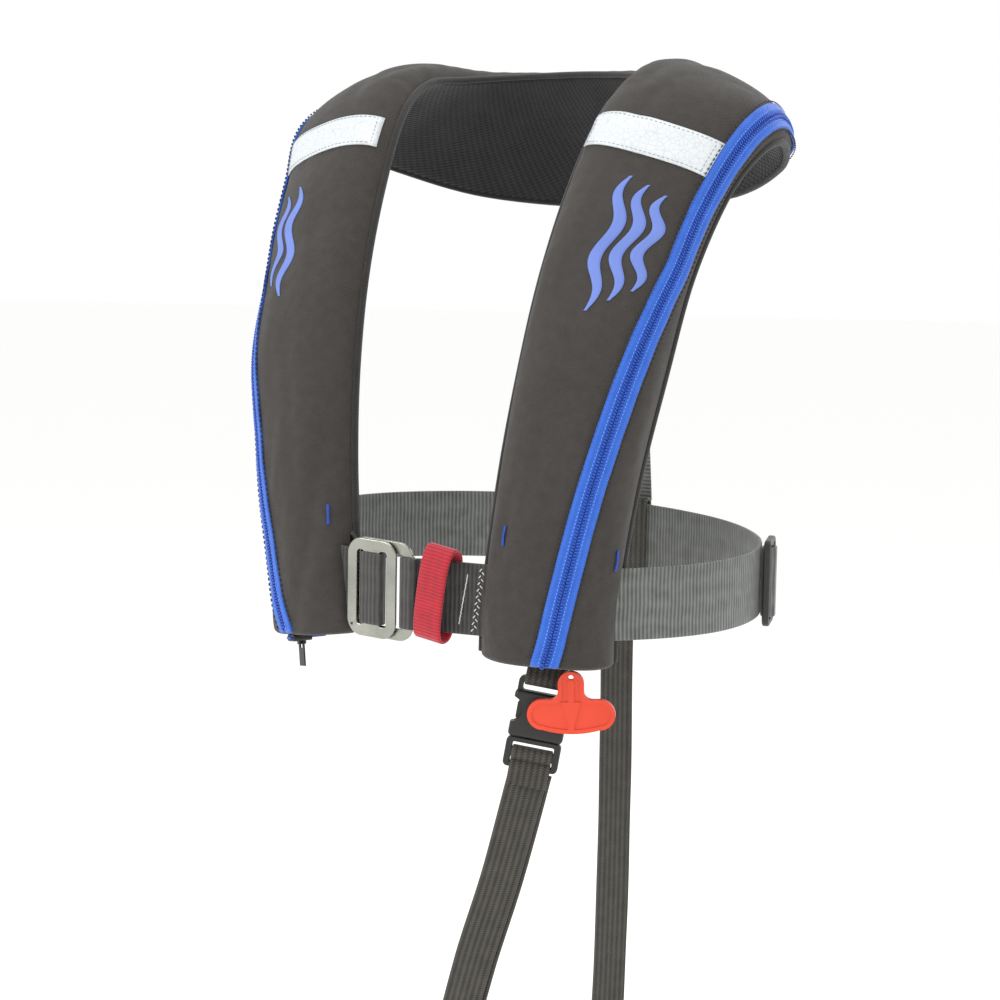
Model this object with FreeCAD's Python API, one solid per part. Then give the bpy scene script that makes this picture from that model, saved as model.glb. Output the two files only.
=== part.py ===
import FreeCAD, Part
import math
import os

# Inflatable life jacket, worn shape: a horseshoe yoke with two chest lobes, a waist belt
# with a steel two-plate buckle, a soft tether loop and a crotch strap.
# Millimetres. +Z is up, the wearer faces -Y and the wearer's left is +X.
# The origin is the middle of the neck opening, level with the top of the yoke.

V = FreeCAD.Vector

# ---------------------------------------------------------------- driving dimensions
FABRIC = 1.5            # cover cloth with its lining
PANEL = 2.0             # back panel, a spacer mesh
SEWN_GAP = 0.4          # clearance that stands for a sewn seam
BOW, BOW_FOOT = 3.5, 7.5   # how far the back panel bows out round the chest, and at the foot
LEFT_DROP = 8.0         # the lobe with the gas cylinder hangs this much lower
CROWN_POWER = 2.5       # section shape: 2 is an ellipse, more is boxier
CROWN_ROOT = 2.2

BELT_WIDTH = 45.0
WEBBING = 2.2
BELT_A, BELT_B = 160.0, 127.0   # half axes of the belt's inner face
BELT_Z = -330.0
BELT_SLOPE = 3.4                # degrees, down to the wearer's left and up to the back

STRAP_WIDTH = 25.0
STRAP = 1.8

BUCKLE_HEIGHT = 62.0
FRAME_WIDTH, RING_WIDTH = 39.0, 50.0
PLATE = 2.5
RING_PLATE = 2.0
BAR = 7.7

CYLINDER_R, CYLINDER_LENGTH = 10.5, 98.0

# The yoke on the wearer's left, from the foot of the lobe to the middle of the nape:
# inner edge, outer edge and thickness of the pack at each station.
YOKE = [
    ((46, -118, -364), (118, -80, -370), 31),
    ((48, -117, -326), (121, -80, -331), 34),
    ((55, -110, -258), (132, -75, -264), 34),
    ((61, -98, -198), (145, -66, -202), 33),
    ((66, -80, -140), (151, -43, -142), 31),
    ((71, -53, -84), (160, -14, -92), 28),
    ((76, -22, -40), (170, 10, -66), 26),
    ((79, 12, -21), (170, 38, -60), 25),
    ((71, 46, -18), (148, 76, -76), 25),
    ((42, 71, -16), (92, 106, -94), 24),
    ((0, 79, -15), (0, 116, -100), 24),
]
SHOULDER = 6            # station where the chest cover meets the collar cover
PER_SPAN = 2            # sections to each span between stations


def unit(vector):
    return V(vector).normalize()


def axes(origin, across, along):
    """A right-handed frame: across, out of the body, along. Returns a placement."""
    along = unit(along)
    across = unit(across - along * across.dot(along))
    out = across.cross(along)
    # local X = across, local Y = -out, local Z = along
    turn = FreeCAD.Rotation(across, out.negative(), along, "XYZ")
    return FreeCAD.Placement(origin, turn)


def placed(shape, placement):
    copy = shape.copy()
    copy.Placement = placement.multiply(copy.Placement)
    return copy


def box(x0, x1, y0, y1, z0, z1):
    return Part.makeBox(x1 - x0, y1 - y0, z1 - z0, V(x0, y0, z0))


def rounded(x0, x1, z0, z1, r, y0, y1):
    """A plate in the XZ plane with rounded corners, from y0 to y1."""
    plate = box(x0, x1, y0, y1, z0, z1)
    upright = [e for e in plate.Edges if abs(e.Vertexes[0].Y - e.Vertexes[-1].Y) > 1e-6]
    return plate.makeFillet(r, upright)


def fuse(first, *others):
    joined = first.multiFuse(list(others))
    return joined.removeSplitter()


# ---------------------------------------------------------------- the yoke
def yoke_points():
    """Every station round the yoke, from the left foot over the nape to the right foot."""
    found = []
    foot = abs(YOKE[0][0][2])
    for inner, outer, thick in YOKE:
        drop = [LEFT_DROP * (abs(p[2]) / foot) ** 2 for p in (inner, outer)]
        found.append((V(*inner) - V(0, 0, drop[0]), V(*outer) - V(0, 0, drop[1]), thick))
    for inner, outer, thick in reversed(YOKE[:-1]):
        found.append((V(-inner[0], *inner[1:]), V(-outer[0], *outer[1:]), thick))
    return found


STATIONS = yoke_points()
LAST = len(STATIONS) - 1


def smooth(values, s):
    """Value at a fractional station number, on a smooth curve through the stations."""
    i = min(int(s), LAST - 1)
    u = s - i
    before, a, b, after = (values[min(max(i + k, 0), LAST)] for k in (-1, 0, 1, 2))
    return (a * 2 + (b - before) * u + (before * 2 - a * 5 + b * 4 - after) * u ** 2
            + (a * 3 - before - b * 3 + after) * u ** 3) * 0.5


INNER, OUTER, THICK = (list(column) for column in zip(*STATIONS))
MIDDLE = [(a + b) * 0.5 for a, b in zip(INNER, OUTER)]


def section_frame(s):
    """Inner edge, direction across, direction out of the body, width, thickness and bow."""
    inner, outer = smooth(INNER, s), smooth(OUTER, s)
    along = smooth(MIDDLE, min(s + 0.25, LAST)) - smooth(MIDDLE, max(s - 0.25, 0))
    across = outer - inner
    width = across.Length
    across = unit(across)
    out = unit(across.cross(along))
    foot_share = max(0.0, 1 - min(s, LAST - s) / 2.2)
    return inner, across, out, width, smooth(THICK, s), BOW + (BOW_FOOT - BOW) * foot_share


def stations(first, last):
    """Evenly spaced station numbers, PER_SPAN to each span."""
    count = max(2, round((last - first) * PER_SPAN))
    return [first + (last - first) * k / count for k in range(count + 1)]


def crown(t):
    """Height of the pack's front at t across its width, as a share of its thickness."""
    return max(0.0, 1 - abs(2 * t - 1) ** CROWN_POWER) ** (1 / CROWN_ROOT)


def bowed(frame, t):
    """Height of the back panel above the edges' plane at t across the width."""
    return frame[5] * (1 - (2 * t - 1) ** 2)


def at(frame, across, out):
    inner, w, n = frame[:3]
    return inner + w * across + n * out


def spline(points):
    curve = Part.BSplineCurve()
    curve.interpolate(points)
    return curve.toShape()


def shell_section(frame):
    """A crescent: the cover cloth from seam to seam."""
    width, thick = frame[3:5]
    shares = [(1 - math.cos(math.pi * k / 8)) / 2 for k in range(9)]
    skin = [at(frame, width * t, thick * crown(t)) for t in shares]
    lining = [
        at(frame, FABRIC + (width - 2 * FABRIC) * t, (thick - FABRIC) * crown(t))
        for t in shares
    ]
    return Part.Wire([
        spline(skin),
        Part.makeLine(skin[-1], lining[-1]),
        spline(lining[::-1]),
        Part.makeLine(lining[0], skin[0]),
    ])


def strip_section(frame, t0, t1, n0, n1):
    """A bowed strip between shares t0 and t1 of the width, from n0 to n1 above the bow."""
    width = frame[3]
    middle = (t0 + t1) / 2
    low = [at(frame, width * t, bowed(frame, t) + n0) for t in (t0, middle, t1)]
    high = [at(frame, width * t, bowed(frame, t) + n1) for t in (t1, middle, t0)]
    return Part.Wire([
        Part.Arc(*low).toShape(),
        Part.makeLine(low[-1], high[0]),
        Part.Arc(*high).toShape(),
        Part.makeLine(high[-1], low[0]),
    ])


def pillow_section(frame, t0, t1, low, high):
    """A rounded bar of folded cloth: shares of the width, heights above the edge plane."""
    width = frame[3]
    a, b = width * t0, width * t1
    middle, half = (low + high) / 2, (high - low) / 2
    return Part.Wire([
        Part.Arc(at(frame, a + half, high), at(frame, a, middle), at(frame, a + half, low)).toShape(),
        Part.makeLine(at(frame, a + half, low), at(frame, b - half, low)),
        Part.Arc(at(frame, b - half, low), at(frame, b, middle), at(frame, b - half, high)).toShape(),
        Part.makeLine(at(frame, b - half, high), at(frame, a + half, high)),
    ])


def cover(first, last):
    return Part.makeLoft([shell_section(section_frame(s)) for s in stations(first, last)], True, False)


def foot_cap(i):
    """The cloth that closes the foot of a lobe, just below station i."""
    frame = section_frame(i)
    across, out, width, thick = frame[1:5]
    shares = [(1 - math.cos(math.pi * k / 8)) / 2 for k in range(9)]
    skin = [at(frame, width * t, thick * crown(t)) for t in shares]
    outline = Part.Wire([spline(skin), Part.makeLine(skin[-1], skin[0])])
    down = unit(across.cross(out))
    down = down if down.z < 0 else down.negative()
    return Part.Face(outline).extrude(down * FABRIC)


def back_panel(first, last):
    frames = [section_frame(s) for s in stations(first, last)]
    sections = [strip_section(f, 0, 1, -SEWN_GAP - PANEL, -SEWN_GAP) for f in frames]
    return Part.makeLoft(sections, True, False)


def belt_placement():
    tilt = FreeCAD.Rotation(V(0, 1, 0), BELT_SLOPE).multiply(
        FreeCAD.Rotation(V(1, 0, 0), BELT_SLOPE))
    return FreeCAD.Placement(V(0, 0, BELT_Z), tilt)


BELT = belt_placement()


def belt_point(angle, proud=0.0):
    """A point on the belt's inner face, angle in degrees from the front to the left."""
    turn = math.radians(angle)
    return V((BELT_A + proud) * math.sin(turn), -(BELT_B + proud) * math.cos(turn), 0)


def belt_band(start, end, inner, outer, height):
    """A stretch of band round the waist, between two faces given as offsets."""
    corners = [belt_point(start, inner), belt_point(end, inner)]
    far = [belt_point(start, outer), belt_point(end, outer)]
    # A Part.Ellipse starts at +X and runs anticlockwise, so its angle is ours less 90.
    edges = []
    for offset in (inner, outer):
        curve = Part.Ellipse(V(0, 0, 0), BELT_A + offset, BELT_B + offset)
        edges.append(curve.toShape(math.radians(start - 90), math.radians(end - 90)))
    outline = Part.Wire(Part.sortEdges([
        edges[0], edges[1],
        Part.makeLine(corners[0], far[0]),
        Part.makeLine(corners[1], far[1]),
    ])[0])
    band = Part.Face(outline).extrude(V(0, 0, height))
    band.translate(V(0, 0, -height / 2))
    return band


def slots(covers, side):
    """Cuts the belt's way through the seams at both edges of a lobe."""
    tall = BELT_WIDTH + 2
    inner_slot = belt_band(12, 28, -9, 6 if side > 0 else 9, tall)
    outer_slot = belt_band(42, 62, -9, 4.5, tall)
    for tool in (inner_slot, outer_slot):
        if side < 0:
            tool = tool.mirror(V(0, 0, 0), V(1, 0, 0))
        covers = covers.cut(placed(tool, BELT))
    return covers


# ---------------------------------------------------------------- zip
ZIP_FOOT, ZIP_EDGE = 0.5, 0.93   # where the zip runs, as shares of the width
ZIP_LEVEL = 4                    # station where it reaches the outer edge
TAPE_WIDTH, TAPE = 17.0, 1.0
COIL_WIDTH, COIL = 5.5, 2.0


def zip_share(i):
    from_foot = min(i, LAST - i)
    return ZIP_FOOT + (ZIP_EDGE - ZIP_FOOT) * min(1.0, from_foot / ZIP_LEVEL)


def zip_section(i, wide, low, high):
    """A small rectangle lying on the cover's surface, centred on the zip's line."""
    frame = section_frame(i)
    w, n, width, thick = frame[1:5]
    t, step = zip_share(i), 0.01
    here = at(frame, width * t, thick * crown(t))
    ahead = at(frame, width * (t + step), thick * crown(t + step))
    tangent = unit(ahead - here)
    up = tangent.cross(w.cross(n)).negative()
    up = up if up.dot(n) > 0 or up.dot(w) > 0 else up.negative()
    corners = [(-1, low), (1, low), (1, high), (-1, high)]
    points = [here + tangent * (s * wide / 2) + up * h for s, h in corners]
    return Part.makePolygon(points + points[:1])


def zip_band(wide, low, high):
    sections = [zip_section(s, wide, low, high) for s in stations(0, LAST)]
    return Part.makeLoft(sections, True, False)


# ---------------------------------------------------------------- reflective patches
def patch(side):
    """A reflective strip sewn across the front of the shoulder."""
    place, half_long, proud, thick_cloth = 5.38, 0.26, 0.25, 0.4
    outline = []
    for share in (-half_long, 0, half_long):
        i = place + share
        frame = section_frame(i if side > 0 else LAST - i)
        width, thick = frame[3:5]
        shares = [0.03 + 0.86 * k / 8 for k in range(9)]
        low = [at(frame, width * t, thick * crown(t) + proud) for t in shares]
        high = [at(frame, width * t, thick * crown(t) + proud + thick_cloth) for t in shares]
        outline.append(Part.Wire([
            spline(low),
            Part.makeLine(low[-1], high[-1]),
            spline(high[::-1]),
            Part.makeLine(high[0], low[0]),
        ]))
    return Part.makeLoft(outline, True, False)


# ---------------------------------------------------------------- waist buckle
BUCKLE_TURN = -5.5       # degrees, the front of the waist where the plates lie
BUCKLE_X = -19.0


def buckle_placement():
    """The flat the plates lie in: local X across, local -Y out of the body."""
    touch = V(BUCKLE_X, -BELT_B * math.sqrt(1 - (BUCKLE_X / BELT_A) ** 2), 0)
    local = FreeCAD.Placement(touch, FreeCAD.Rotation(V(0, 0, 1), BUCKLE_TURN))
    return BELT.multiply(local)


BUCKLE = buckle_placement()
RING_LEFT, FRAME_LEFT = -25.0, -25.5    # plate edges, measured from the touching point
RING_OUT, FRAME_OUT = 2.7, 5.2          # how far each plate's back stands off the belt
CENTRE_BAR = 13.0


def out_plate(x0, x1, height, r, out, thick):
    return rounded(x0, x1, -height / 2, height / 2, r, -(out + thick), -out)


def eased(plate, size=0.7):
    """Rounds the long edges of a plate's faces, as tumbling does."""
    edges = [e for e in plate.Edges if abs(e.Vertexes[0].Y - e.Vertexes[-1].Y) < 1e-6]
    return plate.makeFillet(size, edges)


def buckle_ring():
    x0, x1 = RING_LEFT, RING_LEFT + RING_WIDTH
    plate = out_plate(x0, x1, BUCKLE_HEIGHT, 11, RING_OUT, RING_PLATE)
    hole = out_plate(x0 + BAR, x1 - BAR, BUCKLE_HEIGHT - 2 * BAR, 2.0, RING_OUT - 1, RING_PLATE + 2)
    return eased(plate.cut(hole), 0.6)


def buckle_frame():
    x0, x1 = FRAME_LEFT, FRAME_LEFT + FRAME_WIDTH
    tall = BUCKLE_HEIGHT - 2 * BAR
    middle = (x0 + x1) / 2
    plate = out_plate(x0, x1, BUCKLE_HEIGHT, 11, FRAME_OUT, PLATE)
    for a, b in ((x0 + BAR, middle - CENTRE_BAR / 2), (middle + CENTRE_BAR / 2, x1 - BAR)):
        plate = plate.cut(out_plate(a, b, tall, 2.0, FRAME_OUT - 1, PLATE + 2))
    return eased(plate, 1.1)


def webbing_turn(x0, x1, out, thick, inner_gap=0.35):
    """Webbing wrapped once round a flat bar from x0 to x1; its back layer lies on the belt."""
    back, half, r = 0.05, BELT_WIDTH / 2, 1.2
    front = out + thick + inner_gap
    a, b = x0 - inner_gap, x1 + inner_gap
    outside = box(a - WEBBING, b + WEBBING, -(front + WEBBING), -back, -half, half)
    upright = [e for e in outside.Edges if abs(e.Vertexes[0].Z - e.Vertexes[-1].Z) > 1e-6]
    outside = outside.makeFillet(r, upright)
    inside = box(a, b, -front, -(back + WEBBING), -half - 1, half + 1)
    return outside.cut(inside)


def frame_bar():
    middle = FRAME_LEFT + FRAME_WIDTH / 2
    return middle - CENTRE_BAR / 2, middle + CENTRE_BAR / 2


def frame_turn():
    a, b = frame_bar()
    return placed(webbing_turn(a, b, FRAME_OUT, PLATE), BUCKLE)


def ring_turn():
    x1 = RING_LEFT + RING_WIDTH
    return placed(webbing_turn(x1 - BAR, x1, RING_OUT, RING_PLATE), BUCKLE)


# ---------------------------------------------------------------- waist belt and its pieces
SIDE_ANGLE = 108.0      # where the side adjuster sits, degrees from the front
LOOP_X = 22.0           # where the tether loop sits, from the middle of the front
BELT_LEFT_START, BELT_RIGHT_START = 3.4, -12.7


def waist_belt_left():
    return placed(belt_band(BELT_LEFT_START, SIDE_ANGLE + 11, 0, WEBBING, BELT_WIDTH), BELT)


def waist_belt_right():
    """From the buckle round the right side and the back, to meet the left part's end."""
    return placed(belt_band(SIDE_ANGLE + 11.3 - 360, BELT_RIGHT_START, 0, WEBBING, BELT_WIDTH), BELT)


def side_adjuster():
    """A three-bar plastic slide on the left flank; the belt runs behind its end bars."""
    wide, tall, thick = 32.0, 55.0, 4.5
    frame = rounded(-wide / 2, wide / 2, -tall / 2, tall / 2, 7, -thick, 0)
    slot = rounded(-11.5, -3, -23.5, 23.5, 1.5, -thick - 1, 1)
    frame = frame.cut(slot).cut(slot.mirror(V(0, 0, 0), V(1, 0, 0)))
    frame = eased(frame, 1.2)
    touch = belt_point(SIDE_ANGLE, WEBBING)
    turn = math.radians(SIDE_ANGLE)
    tangent = V(BELT_A * math.cos(turn), BELT_B * math.sin(turn), 0).normalize()
    out = V(tangent.y, -tangent.x, 0)
    clear = WEBBING + 0.9    # room for the webbing that passes behind the middle bar
    place = FreeCAD.Placement(touch + out * clear,
                              FreeCAD.Rotation(tangent, out.negative(), V(0, 0, 1), "XYZ"))
    turn_out = box(-3.3 - WEBBING, 3.3 + WEBBING, -thick - 0.4 - WEBBING, 0.4 + WEBBING, -22.5, 22.5)
    turn_in = box(-3.3, 3.3, -thick - 0.4, 0.4, -24, 24)
    webbing = turn_out.cut(turn_in)
    return placed(frame, BELT.multiply(place)), placed(webbing, BELT.multiply(place))


def tether_loop():
    """A stiff loop of red webbing round the belt for a tether hook."""
    wide, gap, thick = 20.0, 9.0, 2.0
    low, high = -BELT_WIDTH / 2 - 3, BELT_WIDTH / 2 + 6
    outside = box(-wide / 2, wide / 2, -(gap + thick + WEBBING), 4.2, low - thick, high + thick)
    inside = box(-wide / 2 - 1, wide / 2 + 1, -(gap + WEBBING), 4.2 - thick, low, high)
    corners = [e for e in outside.Edges if abs(e.Vertexes[0].X - e.Vertexes[-1].X) > 1e-6]
    outside = outside.makeFillet(6.0, corners)
    corners = [e for e in inside.Edges if abs(e.Vertexes[0].X - e.Vertexes[-1].X) > 1e-6]
    inside = inside.makeFillet(2.0, corners)
    loop = outside.cut(inside)
    lean = FreeCAD.Rotation(V(0, 1, 0), 8)
    place = FreeCAD.Placement(V(LOOP_X, -BELT_B * math.sqrt(1 - (LOOP_X / BELT_A) ** 2), 0), lean)
    return placed(loop, BELT.multiply(place))


# ---------------------------------------------------------------- straps made of flat ribbon
def ribbon(points, wide, thick, side):
    """Webbing along a smooth line through points, its width turned towards side."""
    spine = spline(points)
    curve = spine.Curve
    first, last = spine.ParameterRange
    sections = []
    count = 2 * len(points) - 1
    for k in range(count):
        u = first + (last - first) * k / (count - 1)
        here, along = curve.value(u), unit(curve.tangent(u)[0])
        across = unit(side - along * side.dot(along))
        out = across.cross(along)
        corners = [(-1, -1), (1, -1), (1, 1), (-1, 1)]
        ring = [here + across * (a * wide / 2) + out * (b * thick / 2) for a, b in corners]
        sections.append(Part.makePolygon(ring + ring[:1]))
    return Part.makeLoft(sections, True, False)


CHEST_SIDE = V(0.884, 0.467, 0)
TAB_TOP = V(83, -99, -379)
TAB_DOWN = unit(V(-10, -6, -63))
CLIP = axes(TAB_TOP + TAB_DOWN * 10, CHEST_SIDE, TAB_DOWN.negative())
CLIP_WIDTH, CLIP_THICK = 34.0, 11.0
FEMALE_LENGTH, MALE_LENGTH = 38.0, 19.0
CLIP_GAP = 0.3
ARM_OUT, ARM_THICK = 11.5, 2.6
CAVITY_WIDE, CAVITY_DEEP = 29.0, 7.0


def clip_female():
    """The socket: a slotted head over a flat sleeve with a window at each side."""
    half = CLIP_WIDTH / 2
    head = rounded(-half + 1, half - 1, -12, 0, 3.5, -3, 3)
    head = head.cut(rounded(-13, 13, -9, -3.6, 1.8, -6, 6))
    body = rounded(-half, half, -FEMALE_LENGTH, -9, 2.5, -CLIP_THICK / 2, CLIP_THICK / 2)
    body = eased(body, 2.2)
    shell = fuse(head, body)
    cavity = box(-CAVITY_WIDE / 2, CAVITY_WIDE / 2, -CAVITY_DEEP / 2, CAVITY_DEEP / 2,
                 -FEMALE_LENGTH - 1, -12.5)
    shell = shell.cut(cavity)
    for s in (-1, 1):
        window = Part.makeCylinder(8.0, CLIP_THICK + 2, V(s * (half + 1.5), CLIP_THICK / 2 + 1, -21.5),
                                   V(0, -1, 0))
        shell = shell.cut(window)
    return shell


def clip_male():
    """The plug: a ladder-lock frame with a middle guide prong."""
    half = CLIP_WIDTH / 2
    top, foot = -FEMALE_LENGTH - CLIP_GAP, -FEMALE_LENGTH - MALE_LENGTH
    frame = rounded(-half, half, foot, top, 3.0, -3.6, 3.6)
    upper = rounded(-13, 13, top - 7.2, top - 3.0, 1.2, -6, 6)
    lower = rounded(-13, 13, foot + 2.8, foot + 7.0, 1.2, -6, 6)
    frame = eased(frame.cut(upper).cut(lower), 0.8)
    prong = box(-3, 3, -2, 2, top - 1.5, -15)
    return fuse(frame, prong)


def clip_arm(s):
    """A springy side arm that ends in a thumb pad filling the socket's window."""
    foot = -FEMALE_LENGTH - CLIP_GAP + 0.2
    arm = box(ARM_OUT - ARM_THICK, ARM_OUT, -2.4, 2.4, foot, -16)
    pad = rounded(ARM_OUT - 1.2, CAVITY_WIDE / 2 - 0.2, -27, -16, 1.5, -2.8, 2.8)
    limb = fuse(arm, pad)
    return limb if s > 0 else limb.mirror(V(0, 0, 0), V(1, 0, 0))


# Route of the crotch strap, from the plug's ladder down the belly, under, and up the back.
STRAP_FRONT = [V(72.2, -105.5, -446.4), V(54, -109, -512), V(35, -113, -571), V(18, -112, -630),
               V(6, -101, -685), V(1, -73, -729), V(0, -32, -752), V(0, 8, -756)]
STRAP_REAR = [V(0, 9, -756), V(0, 50, -747), V(0, 87, -716), V(0, 106, -665),
              V(0, 114, -590), V(0, 119, -490), V(0, 121, -400), V(0, 122, -352)]


def crotch_strap_front():
    return ribbon(STRAP_FRONT, STRAP_WIDTH, STRAP, V(0.94, 0.34, 0))


def crotch_strap_tail():
    """The adjuster's free end, folded back behind the strap."""
    behind = V(-0.35, 0.93, 0) * 3.4 + V(1.8, 0.6, 0)
    return ribbon([p + behind for p in STRAP_FRONT[:5]], STRAP_WIDTH, STRAP, V(0.94, 0.34, 0))


def crotch_strap_rear():
    return ribbon(STRAP_REAR, STRAP_WIDTH, STRAP, V(1, 0, 0))


def ladder_webbing():
    """The strap's turn over the plug's middle bar."""
    top = -FEMALE_LENGTH - CLIP_GAP
    foot = -FEMALE_LENGTH - MALE_LENGTH
    bar_top, bar_foot = top - 7.2, foot + 7.0
    outside = box(-STRAP_WIDTH / 2, STRAP_WIDTH / 2, -3.9 - STRAP, 3.9 + STRAP,
                  bar_foot - 0.3 - STRAP, bar_top + 0.3 + STRAP)
    inside = box(-STRAP_WIDTH / 2 - 1, STRAP_WIDTH / 2 + 1, -3.9, 3.9, bar_foot - 0.3, bar_top + 0.3)
    return outside.cut(inside)


def strap_tab():
    """Short webbing from the lobe's foot, looped round the socket's head bar."""
    gap = 3.3
    under = -3.8
    wrap = box(-STRAP_WIDTH / 2, STRAP_WIDTH / 2, -gap - STRAP, gap + STRAP, under - STRAP, 2.0 + STRAP)
    hole = box(-STRAP_WIDTH / 2 - 1, STRAP_WIDTH / 2 + 1, -gap, gap, under, 0.3)
    stem = box(-STRAP_WIDTH / 2, STRAP_WIDTH / 2, -2, 2, 1, 9.0)
    return fuse(wrap.cut(hole), stem)


# ---------------------------------------------------------------- pull handle
GAS = axes(V(88.2, -99.1, -295.7), CHEST_SIDE, V(0.1228, 0.2407, 0.9627))
GAS_OUT = 21.4           # centreline, out from the lobe's back
LEVER_OUT = 20.0         # centre of the firing lever, out from the lobe's back
LEVER_PIVOT, LEVER_END, LEVER_Z, LEVER_SLOT = -9.0, 13.0, -4.5, 6.0
LEVER_GAP = 6.0          # between the fork's prongs, wide enough for the lanyard as the lever swings
LEVER_TIE = GAS.multVec(V(10.8, -LEVER_OUT, LEVER_Z))    # where the lanyard meets the lever
HANDLE_TOP = V(102.8, -105.8, -382)
HANDLE = axes(HANDLE_TOP, CHEST_SIDE, LEVER_TIE - HANDLE_TOP)
HANDLE_THICK = 4.0


def handle_outline(shrink, y0, y1):
    """An anchor shape: a round-topped stem over a wide bar with a bellied foot."""
    stem, reach, wing = 8.0 - shrink, 27.0 - shrink, 9.5 - shrink
    top, wing_z, belly = -shrink, -27.0, -39.0 + shrink
    stem_plate = rounded(-stem, stem, -30, top, stem - 0.1, y0, y1)
    ends = [Part.makeCylinder(wing, y1 - y0, V(s * (reach - wing), y0, wing_z), V(0, 1, 0)) for s in (-1, 1)]
    left, right = V(-(reach - wing), y0, wing_z - wing), V(reach - wing, y0, wing_z - wing)
    upper = wing_z + wing
    outline = Part.Wire([
        Part.Arc(left, V(0, y0, belly), right).toShape(),
        Part.makeLine(right, V(right.x, y0, upper)),
        Part.makeLine(V(right.x, y0, upper), V(left.x, y0, upper)),
        Part.makeLine(V(left.x, y0, upper), left),
    ])
    bar = Part.Face(outline).extrude(V(0, y1 - y0, 0))
    neck = Part.makeBox(2 * stem + 10, y1 - y0, 5, V(-stem - 5, y0, upper))
    for s in (-1, 1):
        neck = neck.cut(Part.makeCylinder(5, y1 - y0 + 2, V(s * (stem + 5), y0 - 1, upper + 5), V(0, 1, 0)))
    return fuse(stem_plate, *ends, bar, neck)


def pull_handle():
    """A moulded toggle with a raised rim, a cord rib and a pull arrow on both faces."""
    body = handle_outline(0, -HANDLE_THICK / 2, HANDLE_THICK / 2)
    for side in (-1, 1):
        floor, proud = side * (HANDLE_THICK / 2 - 0.8), side * (HANDLE_THICK / 2 + 1)
        pocket = handle_outline(2.6, min(floor, proud), max(floor, proud))
        rib = rounded(-2.0, 2.0, -38, -5, 1.9, min(floor, side * 1.9), max(floor, side * 1.9))
        arrow = Part.makePolygon([V(-6, floor, -19), V(6, floor, -19), V(1.8, floor, -34),
                                  V(-1.8, floor, -34), V(-6, floor, -19)])
        arrow = Part.Face(arrow).extrude(V(0, side * 0.9, 0))
        body = fuse(body.cut(pocket), rib.common(pocket), arrow)
    eye = Part.makeCylinder(1.6, 6, V(0, 3, -3.6), V(0, -1, 0))
    return placed(body.cut(eye), HANDLE)


CORD_R = 1.1
CORD_TOP = (LEVER_TIE - HANDLE_TOP).Length + 1.0


def pull_cord():
    """The lanyard from the lever, out through the lobe's foot, to the handle's eye."""
    run = Part.makeCylinder(CORD_R, CORD_TOP - 0.5, V(0, 0, 0.5), V(0, 0, 1))
    return placed(run, HANDLE)


# ---------------------------------------------------------------- gas inflator, inside the left lobe
def gas(shape):
    return placed(shape, GAS)


def inflator_body():
    """Moulded head: cylinder socket above, pin way through it, two ears for the lever below."""
    head = eased(rounded(-16, 12, 0, 36, 5, -GAS_OUT - 7.2, -GAS_OUT + 7.2), 2.0)
    socket = Part.makeCylinder(9.2, 12, V(0, -GAS_OUT, 30), V(0, 0, 1))
    ears = [box(LEVER_PIVOT - 4, LEVER_PIVOT + 4, -LEVER_OUT + y - 1, -LEVER_OUT + y + 1, LEVER_Z - 3.5, 6)
            for y in (-5.4, 5.4)]
    head = fuse(head, socket, *ears)
    bore = Part.makeCylinder(6.6, 16, V(0, -GAS_OUT, 28), V(0, 0, 1))
    pin_way = Part.makeCylinder(2.05, 30, V(0, -GAS_OUT, 4), V(0, 0, 1))
    pivot = Part.makeCylinder(1.25, 16, V(LEVER_PIVOT, -LEVER_OUT - 8, LEVER_Z), V(0, 1, 0))
    return gas(head.cut(bore).cut(pin_way).cut(pivot))


def co2_cylinder():
    """Steel gas bottle with a domed end and a threaded neck."""
    start = 43.0
    body = Part.makeCylinder(CYLINDER_R, CYLINDER_LENGTH - 24, V(0, -GAS_OUT, start + 12), V(0, 0, 1))
    dome = Part.makeSphere(CYLINDER_R, V(0, -GAS_OUT, start + CYLINDER_LENGTH - 12))
    shoulder = Part.makeCone(6.5, CYLINDER_R, 12, V(0, -GAS_OUT, start), V(0, 0, 1))
    neck = Part.makeCylinder(6.5, 12.5, V(0, -GAS_OUT, start - 12.5), V(0, 0, 1))
    return gas(fuse(body, dome, shoulder, neck))


def firing_pin():
    pin = Part.makeCylinder(2.0, 15, V(0, -GAS_OUT, 7), V(0, 0, 1))
    point = Part.makeCone(2.0, 0.3, 3, V(0, -GAS_OUT, 22), V(0, 0, 1))
    return gas(fuse(pin, point))


def inflator_lever():
    """Lever under the head, on its own pin; the lanyard pulls its slotted end down."""
    arm = rounded(LEVER_PIVOT - 2.4, LEVER_END, LEVER_Z - 1.5, LEVER_Z + 1.5, 1.45,
                  -LEVER_OUT - 4, -LEVER_OUT + 4)
    slot = box(LEVER_SLOT, LEVER_END + 1, -LEVER_OUT - LEVER_GAP / 2, -LEVER_OUT + LEVER_GAP / 2,
               LEVER_Z - 3, LEVER_Z + 3)
    pin = Part.makeCylinder(1.2, 12.4, V(LEVER_PIVOT, -LEVER_OUT - 6.2, LEVER_Z), V(0, 1, 0))
    return gas(fuse(arm.cut(slot), pin))


def sensor_cap():
    """Ribbed screw cap on the head's side, over the dissolving tablet of the automatic trigger."""
    radius, middle, out = 6.2, 18.0, GAS_OUT - 4.5
    cap = Part.makeCylinder(radius, 7, V(-23.2, -out, middle), V(1, 0, 0))
    notches = [Part.makeCylinder(0.8, 9, V(-24.2, -out + (radius + 0.4) * math.cos(math.radians(a)),
                                           middle + (radius + 0.4) * math.sin(math.radians(a))), V(1, 0, 0))
               for a in range(0, 360, 30)]
    return gas(cap.cut(notches[0].multiFuse(notches[1:])))


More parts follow.
